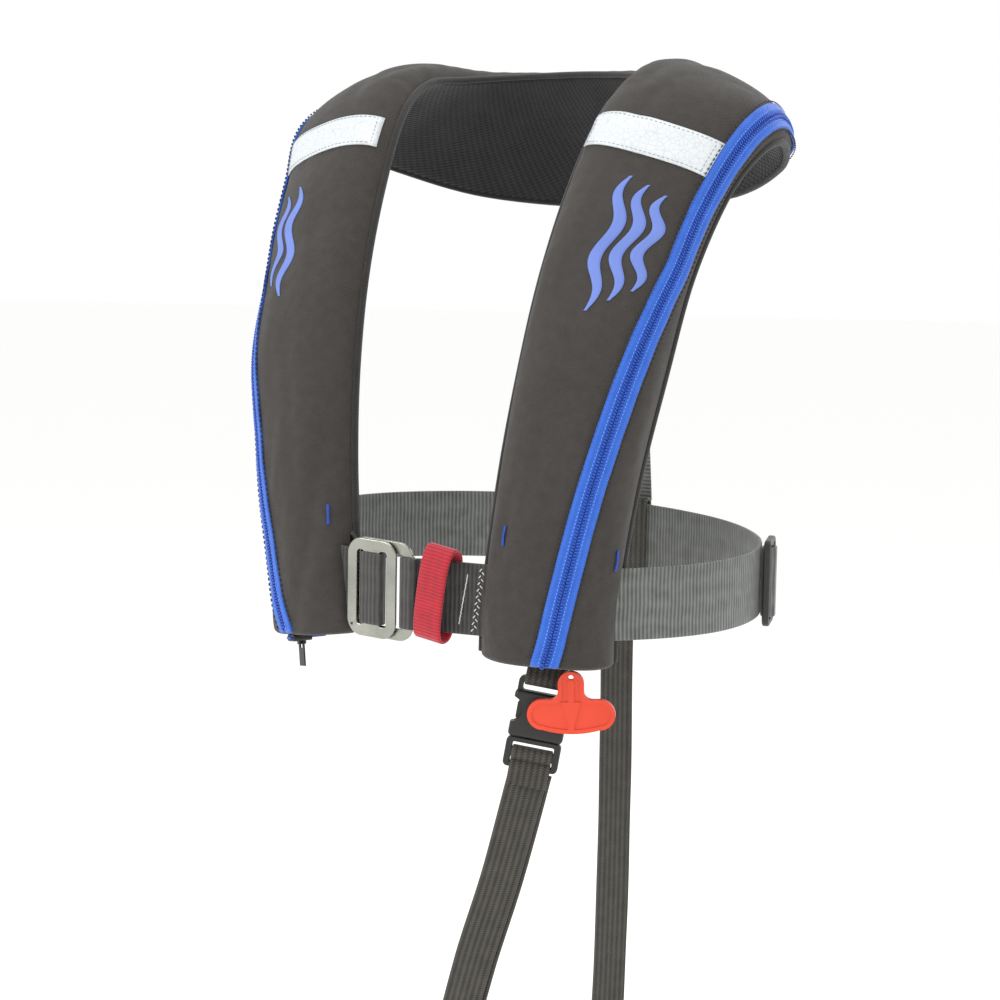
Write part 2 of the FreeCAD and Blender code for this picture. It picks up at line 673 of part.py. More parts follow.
# ---------------------------------------------------------------- oral tube and whistle, right lobe
ORAL = axes(V(-92, -90.5, -268), V(-0.9, 0.42, 0), V(-0.12, 0.235, 0.965))
ORAL_OUT = -20.5


def oral(shape):
    return placed(shape, ORAL)


def oral_tube():
    tube = Part.makeCylinder(6.0, 84, V(0, -ORAL_OUT, 0), V(0, 0, 1))
    return oral(tube.cut(Part.makeCylinder(4.6, 86, V(0, -ORAL_OUT, -1), V(0, 0, 1))))


def oral_valve():
    """One-way valve body pressed on the tube's upper end."""
    sleeve = Part.makeCylinder(7.5, 20, V(0, -ORAL_OUT, 84.2), V(0, 0, 1))
    return oral(sleeve.cut(Part.makeCylinder(5.0, 22, V(0, -ORAL_OUT, 83), V(0, 0, 1))))


def oral_poppet():
    disc = Part.makeCylinder(4.8, 3, V(0, -ORAL_OUT, 92), V(0, 0, 1))
    stem = Part.makeCylinder(1.5, 9, V(0, -ORAL_OUT, 95), V(0, 0, 1))
    return oral(fuse(disc, stem))


def oral_cap():
    cap = Part.makeCylinder(9.4, 14, V(0, -ORAL_OUT, 93), V(0, 0, 1))
    return oral(cap.cut(Part.makeCylinder(7.8, 11.8, V(0, -ORAL_OUT, 92.9), V(0, 0, 1))))


def whistle():
    """Flat pealess whistle with a mouthpiece and two sound slots."""
    body = eased(rounded(14, 31, 10, 52, 3.5, -ORAL_OUT - 4.5, -ORAL_OUT + 4.5), 1.2)
    mouth = box(17, 28, -ORAL_OUT - 2, -ORAL_OUT + 2, 40, 54)
    vent = box(16, 29, -ORAL_OUT + 2, -ORAL_OUT + 6, 24, 30)
    return oral(body.cut(mouth).cut(vent))


# ---------------------------------------------------------------- back harness, marks
def back_strap():
    """Webbing from the foot of the collar down to the belt at the back."""
    route = [V(0, 115.2, -103), V(0, 121.5, -140), V(0, 126, -200), V(0, 130.5, -262), V(0, 132.6, -299)]
    return ribbon(route, 40, STRAP, V(1, 0, 0))


def belt_tunnel():
    """A flat loop at the foot of the back strap that the belt slides through."""
    outside = box(-20, 20, -2.6, 6.2, -26, 26)
    inside = box(-21, 21, -0.6, 4.2, -23.4, 23.4)
    loop = outside.cut(inside)
    place = FreeCAD.Placement(V(0, BELT_B - 0.9, 0), FreeCAD.Rotation())
    return placed(loop, BELT.multiply(place))


def bladder():
    """The folded float, packed round the collar and into both lobes."""
    sections = []
    for s in stations(4, LAST - 4):
        frame = section_frame(s)
        sections.append(pillow_section(frame, 0.16, 0.82, BOW + 1.2, frame[4] - 5.6))
    return Part.makeLoft(sections, True, False)


def bladder_roll(side):
    """The float's lower end, rolled up beside the hardware in a lobe."""
    t0, t1 = (0.73, 0.9) if side > 0 else (0.1, 0.27)
    numbers = [1.7 + 2.2 * k / 6 for k in range(7)]
    frames = [section_frame(k if side > 0 else LAST - k) for k in numbers]
    return Part.makeLoft([pillow_section(f, t0, t1, 5.5, 15.5) for f in frames], True, False)


def bar_tack(i, edge, side):
    """Dense stitching above a belt slot, proud of the seam."""
    frame = section_frame(i if side > 0 else LAST - i)
    w, n, width, thick = frame[1:5]
    t = 0.045 if edge == "inner" else 0.955
    here = at(frame, width * t, thick * crown(t))
    out = unit(n + w * (-1.2 if edge == "inner" else 1.2))
    along = unit(w.cross(n))
    across = out.cross(along)
    place = FreeCAD.Placement(here + out * 0.25, FreeCAD.Rotation(across, out, along, "XYZ"))
    return placed(box(-1.3, 1.3, 0.1, 0.9, -6, 6), place)


def bar_tacks():
    spots = [(1.62, "inner", 1), (1.5, "outer", 1), (1.62, "inner", -1), (1.5, "outer", -1)]
    return Part.makeCompound([bar_tack(*spot) for spot in spots])


def status_label():
    """Bright tab of the float's cloth that shows in the right lobe's belt slot."""
    frame = section_frame(LAST - 1.4)
    return Part.makeLoft([
        pillow_section(frame, 0.05, 0.13, 5.6, 7.6),
        pillow_section(section_frame(LAST - 1.65), 0.05, 0.13, 5.6, 7.6),
    ], True, False)


def under_foot():
    """Placement of the zip's end under the right lobe: local Y runs into the body, Z up."""
    frame = section_frame(LAST)
    w, n, width = frame[1:4]
    up = unit(w.cross(n))
    inward = n.negative()
    return FreeCAD.Placement(at(frame, width * ZIP_FOOT, 21) - up * 5.2,
                             FreeCAD.Rotation(inward.cross(up), inward, up, "XYZ"))


def zip_slider():
    """Slider parked on the zip's tail under the foot of the right lobe."""
    body = eased(rounded(-5, 5, -2.2, 2.2, 1.5, -6.5, 6.5), 0.6)
    channel = box(-3.4, 3.4, -8, 8, -0.9, 0.9)
    lug = box(-1.4, 1.4, -1.5, 3.5, -4.4, -2.0)
    eye = Part.makeCylinder(0.66, 4, V(-2, 1.0, -3.3), V(1, 0, 0))
    return placed(fuse(body.cut(channel), lug).cut(eye), under_foot())


def zip_puller():
    """Short flat puller that hangs from the slider's lug."""
    tab = box(-3.4, 3.4, 1.8, 16, -3.9, -2.9)
    hollow = box(-1.7, 1.7, 0, 4.6, -5, -1)
    arms = box(-3.4, 3.4, 0.2, 4, -3.9, -2.9).cut(box(-1.7, 1.7, -1, 4.5, -5, -1))
    pin = Part.makeCylinder(0.6, 6.8, V(-3.4, 1.0, -3.3), V(1, 0, 0))
    puller = fuse(tab.cut(hollow), arms, pin)
    puller.rotate(V(0, 1.0, -3.3), V(1, 0, 0), -90)
    return placed(puller, under_foot())


def zip_tail():
    """The last of the zip, turned under the foot of the right lobe."""
    return placed(box(-2.8, 2.8, -8, 17, -0.6, 0.6), under_foot())


# ---------------------------------------------------------------- write the files
def export(name, shape):
    if shape.Volume < 0:
        shape = shape.reversed()
    if shape.ShapeType == "Compound" and len(shape.Solids) == 1:
        shape = shape.Solids[0]
    volume = shape.Volume / 1000
    print(f"{name:24s} valid {shape.isValid()} solids {len(shape.Solids)} volume {volume:.2f} cm3")
    shape.exportStep(f"parts/{name}.step")


def main():
    os.makedirs("parts", exist_ok=True)
    foot_l, foot_r = foot_cap(0), foot_cap(LAST)
    cord_way = placed(Part.makeCylinder(CORD_R + 1.2, 90, V(0, 0, -2), V(0, 0, 1)), HANDLE)
    cover_left = slots(fuse(cover(0, SHOULDER), foot_l), 1).cut(cord_way)
    cover_right = slots(fuse(cover(LAST - SHOULDER, LAST), foot_r), -1)
    export("cover_left", cover_left)
    export("cover_right", cover_right)
    export("cover_collar", cover(SHOULDER, LAST - SHOULDER))
    export("back_panel_left", back_panel(0, SHOULDER))
    export("back_panel_right", back_panel(LAST - SHOULDER, LAST))
    export("back_panel_collar", back_panel(SHOULDER, LAST - SHOULDER))
    export("zip_tape", zip_band(TAPE_WIDTH, 0.1, TAPE).cut(cover_left).cut(cover_right))
    export("zip_coil", zip_band(COIL_WIDTH, TAPE, TAPE + COIL))
    export("reflective_patch_left", patch(1))
    export("reflective_patch_right", patch(-1))
    export("waist_belt_left", waist_belt_left())
    export("waist_belt_right", waist_belt_right())
    export("buckle_ring", placed(buckle_ring(), BUCKLE))
    export("buckle_frame", placed(buckle_frame(), BUCKLE))
    export("frame_webbing_turn", frame_turn())
    export("ring_webbing_turn", ring_turn())
    export("tether_loop", tether_loop())
    adjuster, adjuster_turn = side_adjuster()
    export("side_adjuster", adjuster)
    export("adjuster_webbing_turn", adjuster_turn)
    export("back_strap", back_strap())
    export("belt_tunnel", belt_tunnel())
    export("strap_tab", placed(strap_tab(), CLIP))
    export("clip_socket", placed(clip_female(), CLIP))
    export("clip_plug", placed(clip_male(), CLIP))
    export("clip_arm_left", placed(clip_arm(1), CLIP))
    export("clip_arm_right", placed(clip_arm(-1), CLIP))
    export("ladder_webbing", placed(ladder_webbing(), CLIP))
    export("crotch_strap_front", crotch_strap_front())
    export("crotch_strap_tail", crotch_strap_tail())
    export("crotch_strap_rear", crotch_strap_rear())
    export("pull_handle", pull_handle())
    export("pull_cord", pull_cord())
    export("inflator_body", inflator_body())
    export("co2_cylinder", co2_cylinder())
    export("firing_pin", firing_pin())
    export("inflator_lever", inflator_lever())
    export("sensor_cap", sensor_cap())
    export("oral_tube", oral_tube())
    export("oral_valve", oral_valve())
    export("oral_poppet", oral_poppet())
    export("oral_cap", oral_cap())
    export("whistle", whistle())
    export("bladder", bladder())
    export("bladder_roll_left", bladder_roll(1))
    export("bladder_roll_right", bladder_roll(-1))
    export("bar_tacks", bar_tacks().cut(cover_left).cut(cover_right))
    export("status_label", status_label())
    export("zip_slider", zip_slider())
    export("zip_puller", zip_puller())
    export("zip_tail", zip_tail())


main()
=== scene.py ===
import math
import bpy
import bmesh
import numpy as np
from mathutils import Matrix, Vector


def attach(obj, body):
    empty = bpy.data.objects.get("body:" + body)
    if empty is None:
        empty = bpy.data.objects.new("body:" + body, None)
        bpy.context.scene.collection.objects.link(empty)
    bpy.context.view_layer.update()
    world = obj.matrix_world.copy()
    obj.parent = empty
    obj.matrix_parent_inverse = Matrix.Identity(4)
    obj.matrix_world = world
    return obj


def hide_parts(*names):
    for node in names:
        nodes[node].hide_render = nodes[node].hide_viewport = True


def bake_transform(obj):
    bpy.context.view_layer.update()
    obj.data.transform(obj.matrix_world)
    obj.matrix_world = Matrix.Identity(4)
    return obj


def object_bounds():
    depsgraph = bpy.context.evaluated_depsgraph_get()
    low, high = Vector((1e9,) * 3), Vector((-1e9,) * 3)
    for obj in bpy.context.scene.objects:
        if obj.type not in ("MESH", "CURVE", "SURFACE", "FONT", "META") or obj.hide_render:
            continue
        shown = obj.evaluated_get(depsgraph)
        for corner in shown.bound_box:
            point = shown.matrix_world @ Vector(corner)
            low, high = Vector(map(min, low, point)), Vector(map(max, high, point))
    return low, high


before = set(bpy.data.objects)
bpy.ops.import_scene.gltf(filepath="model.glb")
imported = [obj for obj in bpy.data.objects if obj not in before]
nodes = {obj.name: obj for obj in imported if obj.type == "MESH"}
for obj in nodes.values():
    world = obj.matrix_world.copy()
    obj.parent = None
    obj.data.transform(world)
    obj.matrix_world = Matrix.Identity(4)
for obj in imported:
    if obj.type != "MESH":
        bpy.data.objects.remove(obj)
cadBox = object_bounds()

# camera, light and floor
view = {"turn": 32.3, "rise": 5.0, "distance": 2.4, "lens": 133.9,
        "target": (0.0, 0.0, -0.290), "shiftX": -0.021, "shiftY": 0.0}


def aimed(obj, place, target):
    obj.location = place
    obj.rotation_euler = (Vector(target) - Vector(place)).to_track_quat("-Z", "Y").to_euler()


def makeCamera():
    turn, rise = math.radians(view["turn"]), math.radians(view["rise"])
    back = Vector((math.sin(turn) * math.cos(rise), -math.cos(turn) * math.cos(rise), math.sin(rise)))
    data = bpy.data.cameras.new("camera")
    data.sensor_width, data.lens = 36.0, view["lens"]
    data.shift_x, data.shift_y = view["shiftX"], view["shiftY"]
    data.clip_end = 60.0
    camera = bpy.data.objects.new("camera", data)
    bpy.context.scene.collection.objects.link(camera)
    aimed(camera, Vector(view["target"]) + back * view["distance"], view["target"])
    bpy.context.scene.camera = camera


studio = {"world": 1.0,
          "lamps": [("keyLamp", (-1.7, -2.2, 1.1), 1.2, 30.0), ("fillLamp", (2.3, -1.5, 0.3), 1.2, 8.0),
                    ("topLamp", (0.1, 0.2, 1.7), 1.0, 12.0), ("backLamp", (0.6, 2.4, 0.9), 1.4, 14.0)]}


def makeStudio():
    world = bpy.data.worlds.new("studio")
    bpy.context.scene.world = world
    world.use_nodes = True
    bpy.context.scene.view_settings.view_transform = "Standard"
    background = world.node_tree.nodes["Background"]
    background.inputs["Color"].default_value = (1.0, 1.0, 1.0, 1.0)
    background.inputs["Strength"].default_value = studio["world"]
    for name, place, size, power in studio["lamps"]:
        data = bpy.data.lights.new(name, "AREA")
        data.size, data.energy = size, power
        lamp = bpy.data.objects.new(name, data)
        bpy.context.scene.collection.objects.link(lamp)
        aimed(lamp, place, (0.0, 0.0, -0.25))
    half, level = 14.0, cadBox[0][2] - 0.02
    mesh = bpy.data.meshes.new("floor")
    corners = [(-half, -half, level), (half, -half, level), (half, half, level), (-half, half, level)]
    mesh.from_pydata(corners, [], [(0, 1, 2, 3)])
    floor = bpy.data.objects.new("floor", mesh)
    bpy.context.scene.collection.objects.link(floor)
    mesh.materials.append(plainMaterial("paleFloor", "#fdfdfc", 0.95))


# materials
def hexLinear(code):
    # sRGB hex to linear: each channel below 0.04045 is divided by 12.92, the rest raised to 2.4
    channels = [int(code[k:k + 2], 16) / 255 for k in (1, 3, 5)]
    linear = [c / 12.92 if c <= 0.04045 else ((c + 0.055) / 1.055) ** 2.4 for c in channels]
    return (*linear, 1.0)


def addNode(tree, kind, links=None, **settings):
    # one node with its settings; links maps an input to an output socket or a plain value
    node = tree.nodes.new(kind)
    for name, value in settings.items():
        setattr(node, name, value)
    for key, value in (links or {}).items():
        if isinstance(value, bpy.types.NodeSocket):
            tree.links.new(value, node.inputs[key])
        else:
            node.inputs[key].default_value = value
    return node


def startMaterial(name, roughness, metallic=0.0, ior=1.5):
    material = bpy.data.materials.new(name)
    material.use_nodes = True
    tree = material.node_tree
    shader = tree.nodes["Principled BSDF"]
    shader.inputs["Roughness"].default_value = roughness
    shader.inputs["Metallic"].default_value = metallic
    shader.inputs["IOR"].default_value = ior
    return material, tree, shader


def plainMaterial(name, color, roughness):
    material, _, shader = startMaterial(name, roughness)
    shader.inputs["Base Color"].default_value = hexLinear(color)
    return material


def mixColors(tree, share, dark, light):
    ramp = addNode(tree, "ShaderNodeValToRGB", {0: share})
    ramp.color_ramp.elements[0].color = hexLinear(dark)
    ramp.color_ramp.elements[1].color = hexLinear(light)
    return ramp.outputs["Color"]


def wovenMaterial(name, spec):
    # over-and-under weave: the product of two sine ridges, one along each thread direction,
    # in metres of the cloth's own UV map, with a slow mottle of dye and a fine fuzz
    material, tree, shader = startMaterial(name, spec["roughness"])
    uv = addNode(tree, "ShaderNodeTexCoord").outputs["UV"]
    split = addNode(tree, "ShaderNodeSeparateXYZ", {0: uv})
    rate = 2 * math.pi / spec["thread"]
    slant = spec.get("slant", 0.0)
    along = addNode(tree, "ShaderNodeMath", {0: split.outputs[1], 1: slant, 2: split.outputs[0]},
                    operation="MULTIPLY_ADD").outputs[0]
    waves = []
    for socket in (along, split.outputs[1]):
        turned = addNode(tree, "ShaderNodeMath", {0: socket, 1: rate}, operation="MULTIPLY").outputs[0]
        waves.append(addNode(tree, "ShaderNodeMath", {0: turned}, operation="SINE").outputs[0])
    product = addNode(tree, "ShaderNodeMath", {0: waves[0], 1: waves[1]}, operation="MULTIPLY").outputs[0]
    weave = addNode(tree, "ShaderNodeMapRange", {0: product, 1: -1.0, 2: 1.0}).outputs[0]
    place = addNode(tree, "ShaderNodeTexCoord").outputs["Object"]
    mottle = addNode(tree, "ShaderNodeTexNoise", {"Vector": place, "Scale": spec.get("mottleScale", 60.0),
                                                 "Detail": 4.0, "Roughness": 0.5}).outputs[0]
    fuzz = addNode(tree, "ShaderNodeTexNoise", {"Vector": place, "Scale": 900.0, "Detail": 2.0}).outputs[0]
    tone = addNode(tree, "ShaderNodeMath", {0: weave, 1: 0.55, 2: -0.28}, operation="MULTIPLY_ADD").outputs[0]
    tone = addNode(tree, "ShaderNodeMath", {0: mottle, 1: 0.45, 2: tone}, operation="MULTIPLY_ADD").outputs[0]
    tone = addNode(tree, "ShaderNodeMath", {0: fuzz, 1: 0.35, 2: tone}, operation="MULTIPLY_ADD").outputs[0]
    tone = addNode(tree, "ShaderNodeMath", {0: tone, 1: 0.9, 2: 0.10}, operation="MULTIPLY_ADD",
                   use_clamp=True).outputs[0]
    tree.links.new(mixColors(tree, tone, spec["dark"], spec["light"]), shader.inputs["Base Color"])
    height = addNode(tree, "ShaderNodeMath", {0: fuzz, 1: 0.4, 2: weave}, operation="MULTIPLY_ADD").outputs[0]
    folds = None
    if spec.get("folds"):
        stretch = addNode(tree, "ShaderNodeMapping", {0: place, 3: (22.0, 22.0, 9.0)})
        slow = addNode(tree, "ShaderNodeTexNoise", {"Vector": stretch.outputs[0], "Scale": 1.0, "Detail": 2.5,
                                                   "Roughness": 0.45, "Distortion": 0.6}).outputs[0]
        folds = addNode(tree, "ShaderNodeBump", {"Strength": spec["folds"], "Distance": 0.010,
                                                 "Height": slow}).outputs[0]
    bump = addNode(tree, "ShaderNodeBump", {"Strength": spec.get("bump", 0.35), "Distance": 0.0004,
                                            "Height": height, **({"Normal": folds} if folds else {})})
    tree.links.new(bump.outputs[0], shader.inputs["Normal"])
    shader.inputs["Sheen Weight"].default_value = spec.get("sheen", 0.25)
    shader.inputs["Sheen Roughness"].default_value = 0.4
    shader.inputs["Specular IOR Level"].default_value = spec.get("specular", 0.3)
    return material


def webbingMaterial(name, spec):
    # webbing: ribs across the strap from a sine of the UV length, split into chevrons by the
    # distance from the strap's middle, and fine yarn lines along it
    material, tree, shader = startMaterial(name, spec["roughness"])
    uv = addNode(tree, "ShaderNodeTexCoord").outputs["UV"]
    split = addNode(tree, "ShaderNodeSeparateXYZ", {0: uv})
    cell = addNode(tree, "ShaderNodeMath", {0: split.outputs[1], 1: spec["yarn"] * 2},
                   operation="PINGPONG").outputs[0]
    length = addNode(tree, "ShaderNodeMath", {0: cell, 1: spec["slant"], 2: split.outputs[0]},
                     operation="MULTIPLY_ADD").outputs[0]
    turned = addNode(tree, "ShaderNodeMath", {0: length, 1: 2 * math.pi / spec["rib"]},
                     operation="MULTIPLY").outputs[0]
    rib = addNode(tree, "ShaderNodeMath", {0: turned}, operation="SINE").outputs[0]
    crossed = addNode(tree, "ShaderNodeMath", {0: split.outputs[1], 1: math.pi / spec["yarn"]},
                      operation="MULTIPLY").outputs[0]
    yarn = addNode(tree, "ShaderNodeMath", {0: crossed}, operation="COSINE").outputs[0]
    mixed = addNode(tree, "ShaderNodeMath", {0: yarn, 1: spec["yarnShare"], 2: rib},
                    operation="MULTIPLY_ADD").outputs[0]
    weave = addNode(tree, "ShaderNodeMapRange", {0: mixed, 1: -1.4, 2: 1.4}).outputs[0]
    place = addNode(tree, "ShaderNodeTexCoord").outputs["Object"]
    mottle = addNode(tree, "ShaderNodeTexNoise", {"Vector": place, "Scale": 130.0, "Detail": 5.0}).outputs[0]
    tone = addNode(tree, "ShaderNodeMath", {0: mottle, 1: 0.7, 2: -0.3}, operation="MULTIPLY_ADD").outputs[0]
    tone = addNode(tree, "ShaderNodeMath", {0: weave, 1: 0.85, 2: tone}, operation="MULTIPLY_ADD",
                   use_clamp=True).outputs[0]
    tree.links.new(mixColors(tree, tone, spec["dark"], spec["light"]), shader.inputs["Base Color"])
    bump = addNode(tree, "ShaderNodeBump", {"Strength": spec.get("bump", 0.6), "Distance": 0.0005,
                                            "Height": weave})
    tree.links.new(bump.outputs[0], shader.inputs["Normal"])
    shader.inputs["Sheen Weight"].default_value = 0.2
    shader.inputs["Specular IOR Level"].default_value = spec.get("specular", 0.4)
    return material


def mouldedMaterial(name, spec):
    # moulded plastic: fine spark-eroded grain in the bump, faint flow marks in colour and gloss
    material, tree, shader = startMaterial(name, spec["roughness"], ior=1.49)
    place = addNode(tree, "ShaderNodeTexCoord").outputs["Object"]
    flow = addNode(tree, "ShaderNodeTexNoise", {"Vector": place, "Scale": 45.0, "Detail": 3.0})
    grain = addNode(tree, "ShaderNodeTexNoise", {"Vector": place, "Scale": 1400.0, "Detail": 2.0})
    tree.links.new(mixColors(tree, flow.outputs[0], spec["dark"], spec["light"]), shader.inputs["Base Color"])
    gloss = addNode(tree, "ShaderNodeMapRange", {0: flow.outputs[0], 3: spec["roughness"] - 0.06,
                                                4: spec["roughness"] + 0.08}).outputs[0]
    tree.links.new(gloss, shader.inputs["Roughness"])
    bump = addNode(tree, "ShaderNodeBump", {"Strength": spec["bump"], "Distance": 0.0002,
                                            "Height": grain.outputs[0]})
    tree.links.new(bump.outputs[0], shader.inputs["Normal"])
    return material


def steelMaterial(name, spec):
    # stainless steel, stamped and tumbled: grey metal with soft random scuffs and worn gloss; its base colour is a
    # painted reflection, kept dark and clouded from darker to lighter grey in place of darker surroundings for the
    # metal to mirror
    material, tree, shader = startMaterial(name, spec["roughness"], metallic=1.0)
    place = addNode(tree, "ShaderNodeTexCoord").outputs["Object"]
    scuff = addNode(tree, "ShaderNodeTexNoise", {"Vector": place, "Scale": 240.0, "Detail": 6.0,
                                                 "Roughness": 0.65})
    # painted reflection: a slow cloud of darker and lighter grey in the base colour
    paintedReflectionCloud = addNode(tree, "ShaderNodeTexNoise", {"Vector": place, "Scale": 38.0, "Detail": 2.0})
    tree.links.new(mixColors(tree, paintedReflectionCloud.outputs[0], spec["dark"], spec["light"]),
                   shader.inputs["Base Color"])
    gloss = addNode(tree, "ShaderNodeMapRange", {0: scuff.outputs[0], 1: 0.3, 2: 0.7,
                                                 3: spec["roughness"] - 0.1,
                                                4: spec["roughness"] + 0.14}).outputs[0]
    tree.links.new(gloss, shader.inputs["Roughness"])
    bump = addNode(tree, "ShaderNodeBump", {"Strength": 0.08, "Distance": 0.0003, "Height": scuff.outputs[0]})
    tree.links.new(bump.outputs[0], shader.inputs["Normal"])
    return material


def reflectiveMaterial(name):
    # glass-bead reflective tape: silver grey, finely beaded, a honeycomb of faint weld lines
    material, tree, shader = startMaterial(name, 0.42, metallic=0.25)
    place = addNode(tree, "ShaderNodeTexCoord").outputs["Object"]
    cells = addNode(tree, "ShaderNodeTexVoronoi", {"Vector": place, "Scale": 260.0},
                    feature="DISTANCE_TO_EDGE")
    lines = addNode(tree, "ShaderNodeMapRange", {0: cells.outputs["Distance"], 1: 0.0, 2: 0.09}).outputs[0]
    smudge = addNode(tree, "ShaderNodeTexNoise", {"Vector": place, "Scale": 70.0, "Detail": 4.0}).outputs[0]
    tone = addNode(tree, "ShaderNodeMath", {0: smudge, 1: 0.5, 2: lines}, operation="MULTIPLY_ADD").outputs[0]
    tone = addNode(tree, "ShaderNodeMapRange", {0: tone, 1: 0.0, 2: 1.5}).outputs[0]
    tree.links.new(mixColors(tree, tone, "#c3c8cb", "#dadfe1"), shader.inputs["Base Color"])
    bump = addNode(tree, "ShaderNodeBump", {"Strength": 0.15, "Distance": 0.0002, "Height": lines})
    tree.links.new(bump.outputs[0], shader.inputs["Normal"])
    return material


finishes = {}

# woven cloths; thread is one over-and-under, in metres
wovenFinishes = {
    # textured polyester outer cloth, piece dyed charcoal, with the soft folds of a packed cover
    "coverCloth": ("coverPolyester", {
        "dark": "#25221f", "light": "#4d4945", "roughness": 0.74, "thread": 0.0014, "slant": 0.35,
        "bump": 0.6, "sheen": 0.12, "mottleScale": 150.0, "folds": 0.55}),
    # black polyester spacer mesh on the side towards the body
    "backMesh": ("spacerMesh", {
        "dark": "#141414", "light": "#3c3c3d", "roughness": 0.9, "thread": 0.0042, "slant": 0.5, "bump": 0.9}),
    # coated float nylon, bright yellow-green
    "floatCloth": ("floatNylon", {
        "dark": "#a3b81c", "light": "#c9e03a", "roughness": 0.5, "thread": 0.0012, "bump": 0.2, "sheen": 0.1}),
    # the same outer cloth painted near-black: painted shade inside the belt's slit
    "slitShade": ("slitInsidePaintedShade", {
        "dark": "#080808", "light": "#161514", "roughness": 0.9, "thread": 0.0014, "bump": 0.2, "sheen": 0.0})}

# webbings and tapes; rib and yarn are the pitches along and across, in metres
webbingFinishes = {
    "binding": ("bindingTape", {
        "dark": "#161514", "light": "#33312f", "roughness": 0.8, "rib": 0.0012, "yarn": 0.0014, "slant": 0.0,
        "yarnShare": 0.4}),
    "zipTape": ("zipTapeBlue", {
        "dark": "#1a4fb4", "light": "#3370d6", "roughness": 0.62, "rib": 0.0016, "yarn": 0.0018, "slant": 0.8,
        "yarnShare": 0.5, "bump": 0.4}),
    "beltWebbing": ("beltPolyester", {
        "dark": "#343634", "light": "#7c7f7b", "roughness": 0.55, "rib": 0.0026, "yarn": 0.0060, "slant": 0.03,
        "yarnShare": 0.12, "specular": 0.5, "bump": 0.9}),
    "frontWebbing": ("buckleBeltPolyester", {
        "dark": "#141312", "light": "#474543", "roughness": 0.55, "rib": 0.0029, "yarn": 0.0060, "slant": 0.03,
        "yarnShare": 0.12, "specular": 0.5, "bump": 0.9}),
    "strapWebbing": ("strapPolypropylene", {
        "dark": "#100f0d", "light": "#4a463d", "roughness": 0.55, "rib": 0.0015, "yarn": 0.0019, "slant": 0.4,
        "yarnShare": 1.1}),
    "redWebbing": ("tetherLoopRed", {
        "dark": "#850619", "light": "#c8152e", "roughness": 0.6, "rib": 0.0021, "yarn": 0.0030, "slant": 0.05,
        "yarnShare": 0.15}),
    "lanyard": ("lanyardBraid", {
        "dark": "#0f0f0f", "light": "#333231", "roughness": 0.7, "rib": 0.0014, "yarn": 0.0012, "slant": 1.0,
        "yarnShare": 0.5})}

# moulded plastics, sewing threads and ink: material name, dark, light, roughness
mouldedFinishes = {
    "zipCoil": ("zipCoilNylon", "#1b3f9c", "#2f62cc", 0.36),
    "zipMetal": ("zipSliderEnamel", "#141414", "#242424", 0.3),
    "blackPlastic": ("blackAcetal", "#161615", "#262523", 0.4),
    "handle": ("handleAbs", "#cf3414", "#e34624", 0.30),
    "yellowPlastic": ("inflatorNylon", "#c79a17", "#e3b52a", 0.42),
    "greenPlastic": ("indicatorGreen", "#187a2c", "#25a040", 0.3),
    "tubeRubber": ("tubePvc", "#1b1b1b", "#303030", 0.5),
    "orangePlastic": ("whistleOrange", "#e06a10", "#f58a2a", 0.28),
    "cylinderPaint": ("cylinderZinc", "#7d8288", "#9ea3a8", 0.35),
    "blueThread": ("threadBlue", "#16337e", "#2850b4", 0.6),
    "whiteThread": ("threadWhite", "#cfcfc9", "#f2f2ee", 0.6),
    "patchThread": ("threadGrey", "#8d9296", "#b4b9bc", 0.6),
    "coilThread": ("threadSky", "#5a8be6", "#86aef2", 0.6),
    "glimpseGreen": ("glimpseGreenCloth", "#3f9a10", "#63c21a", 0.5),
    "darkThread": ("threadDark", "#191716", "#34302d", 0.7),
    "print": ("printedInk", "#5f76bf", "#7189d2", 0.6)}
mouldedBumps = {"handle": 0.06, "print": 0.05}


def makeFinishes():
    for finish, (name, spec) in wovenFinishes.items():
        finishes[finish] = wovenMaterial(name, spec)
    for finish, (name, spec) in webbingFinishes.items():
        finishes[finish] = webbingMaterial(name, spec)
    for finish, (name, dark, light, roughness) in mouldedFinishes.items():
        spec = {"dark": dark, "light": light, "roughness": roughness, "bump": mouldedBumps.get(finish, 0.12)}
        finishes[finish] = mouldedMaterial(name, spec)
    # the steel's dark and light greys are painted reflection, darker than the metal's own tint
    finishes["steel"] = steelMaterial("tumbledStainless", {"dark": "#797c76", "light": "#b3b2a8",
                                                           "roughness": 0.28})
    finishes["reflective"] = reflectiveMaterial("reflectiveTape")


# mesh helpers
def unitRows(vectors):
    return vectors / np.linalg.norm(vectors, axis=-1, keepdims=True)


def meshFrom(name, points, faces, uv=None, finish=None, smooth=True):
    # points (n, 3), faces (m, 4) or (m, 3), uv per vertex (n, 2)
    mesh = bpy.data.meshes.new(name)
    faces = np.asarray(faces)
    mesh.from_pydata(points.tolist(), [], faces.tolist())
    if uv is not None:
        layer = mesh.uv_layers.new(name="uv")
        loops = np.empty(len(mesh.loops), dtype=np.int32)
        mesh.loops.foreach_get("vertex_index", loops)
        layer.data.foreach_set("uv", uv[loops].astype(np.float32).ravel())
    mesh.polygons.foreach_set("use_smooth", np.full(len(mesh.polygons), smooth))
    mesh.update()
    if finish:
        mesh.materials.append(finishes[finish])
    obj = bpy.data.objects.new(name, mesh)
    bpy.context.scene.collection.objects.link(obj)
    return obj


def outward(obj, merge=0.0):
    # merges doubles if asked, then points every face outwards
    work = bmesh.new()
    work.from_mesh(obj.data)
    if merge:
        bmesh.ops.remove_doubles(work, verts=work.verts, dist=merge)
    bmesh.ops.recalc_face_normals(work, faces=work.faces)
    work.to_mesh(obj.data)
    work.free()
    return obj


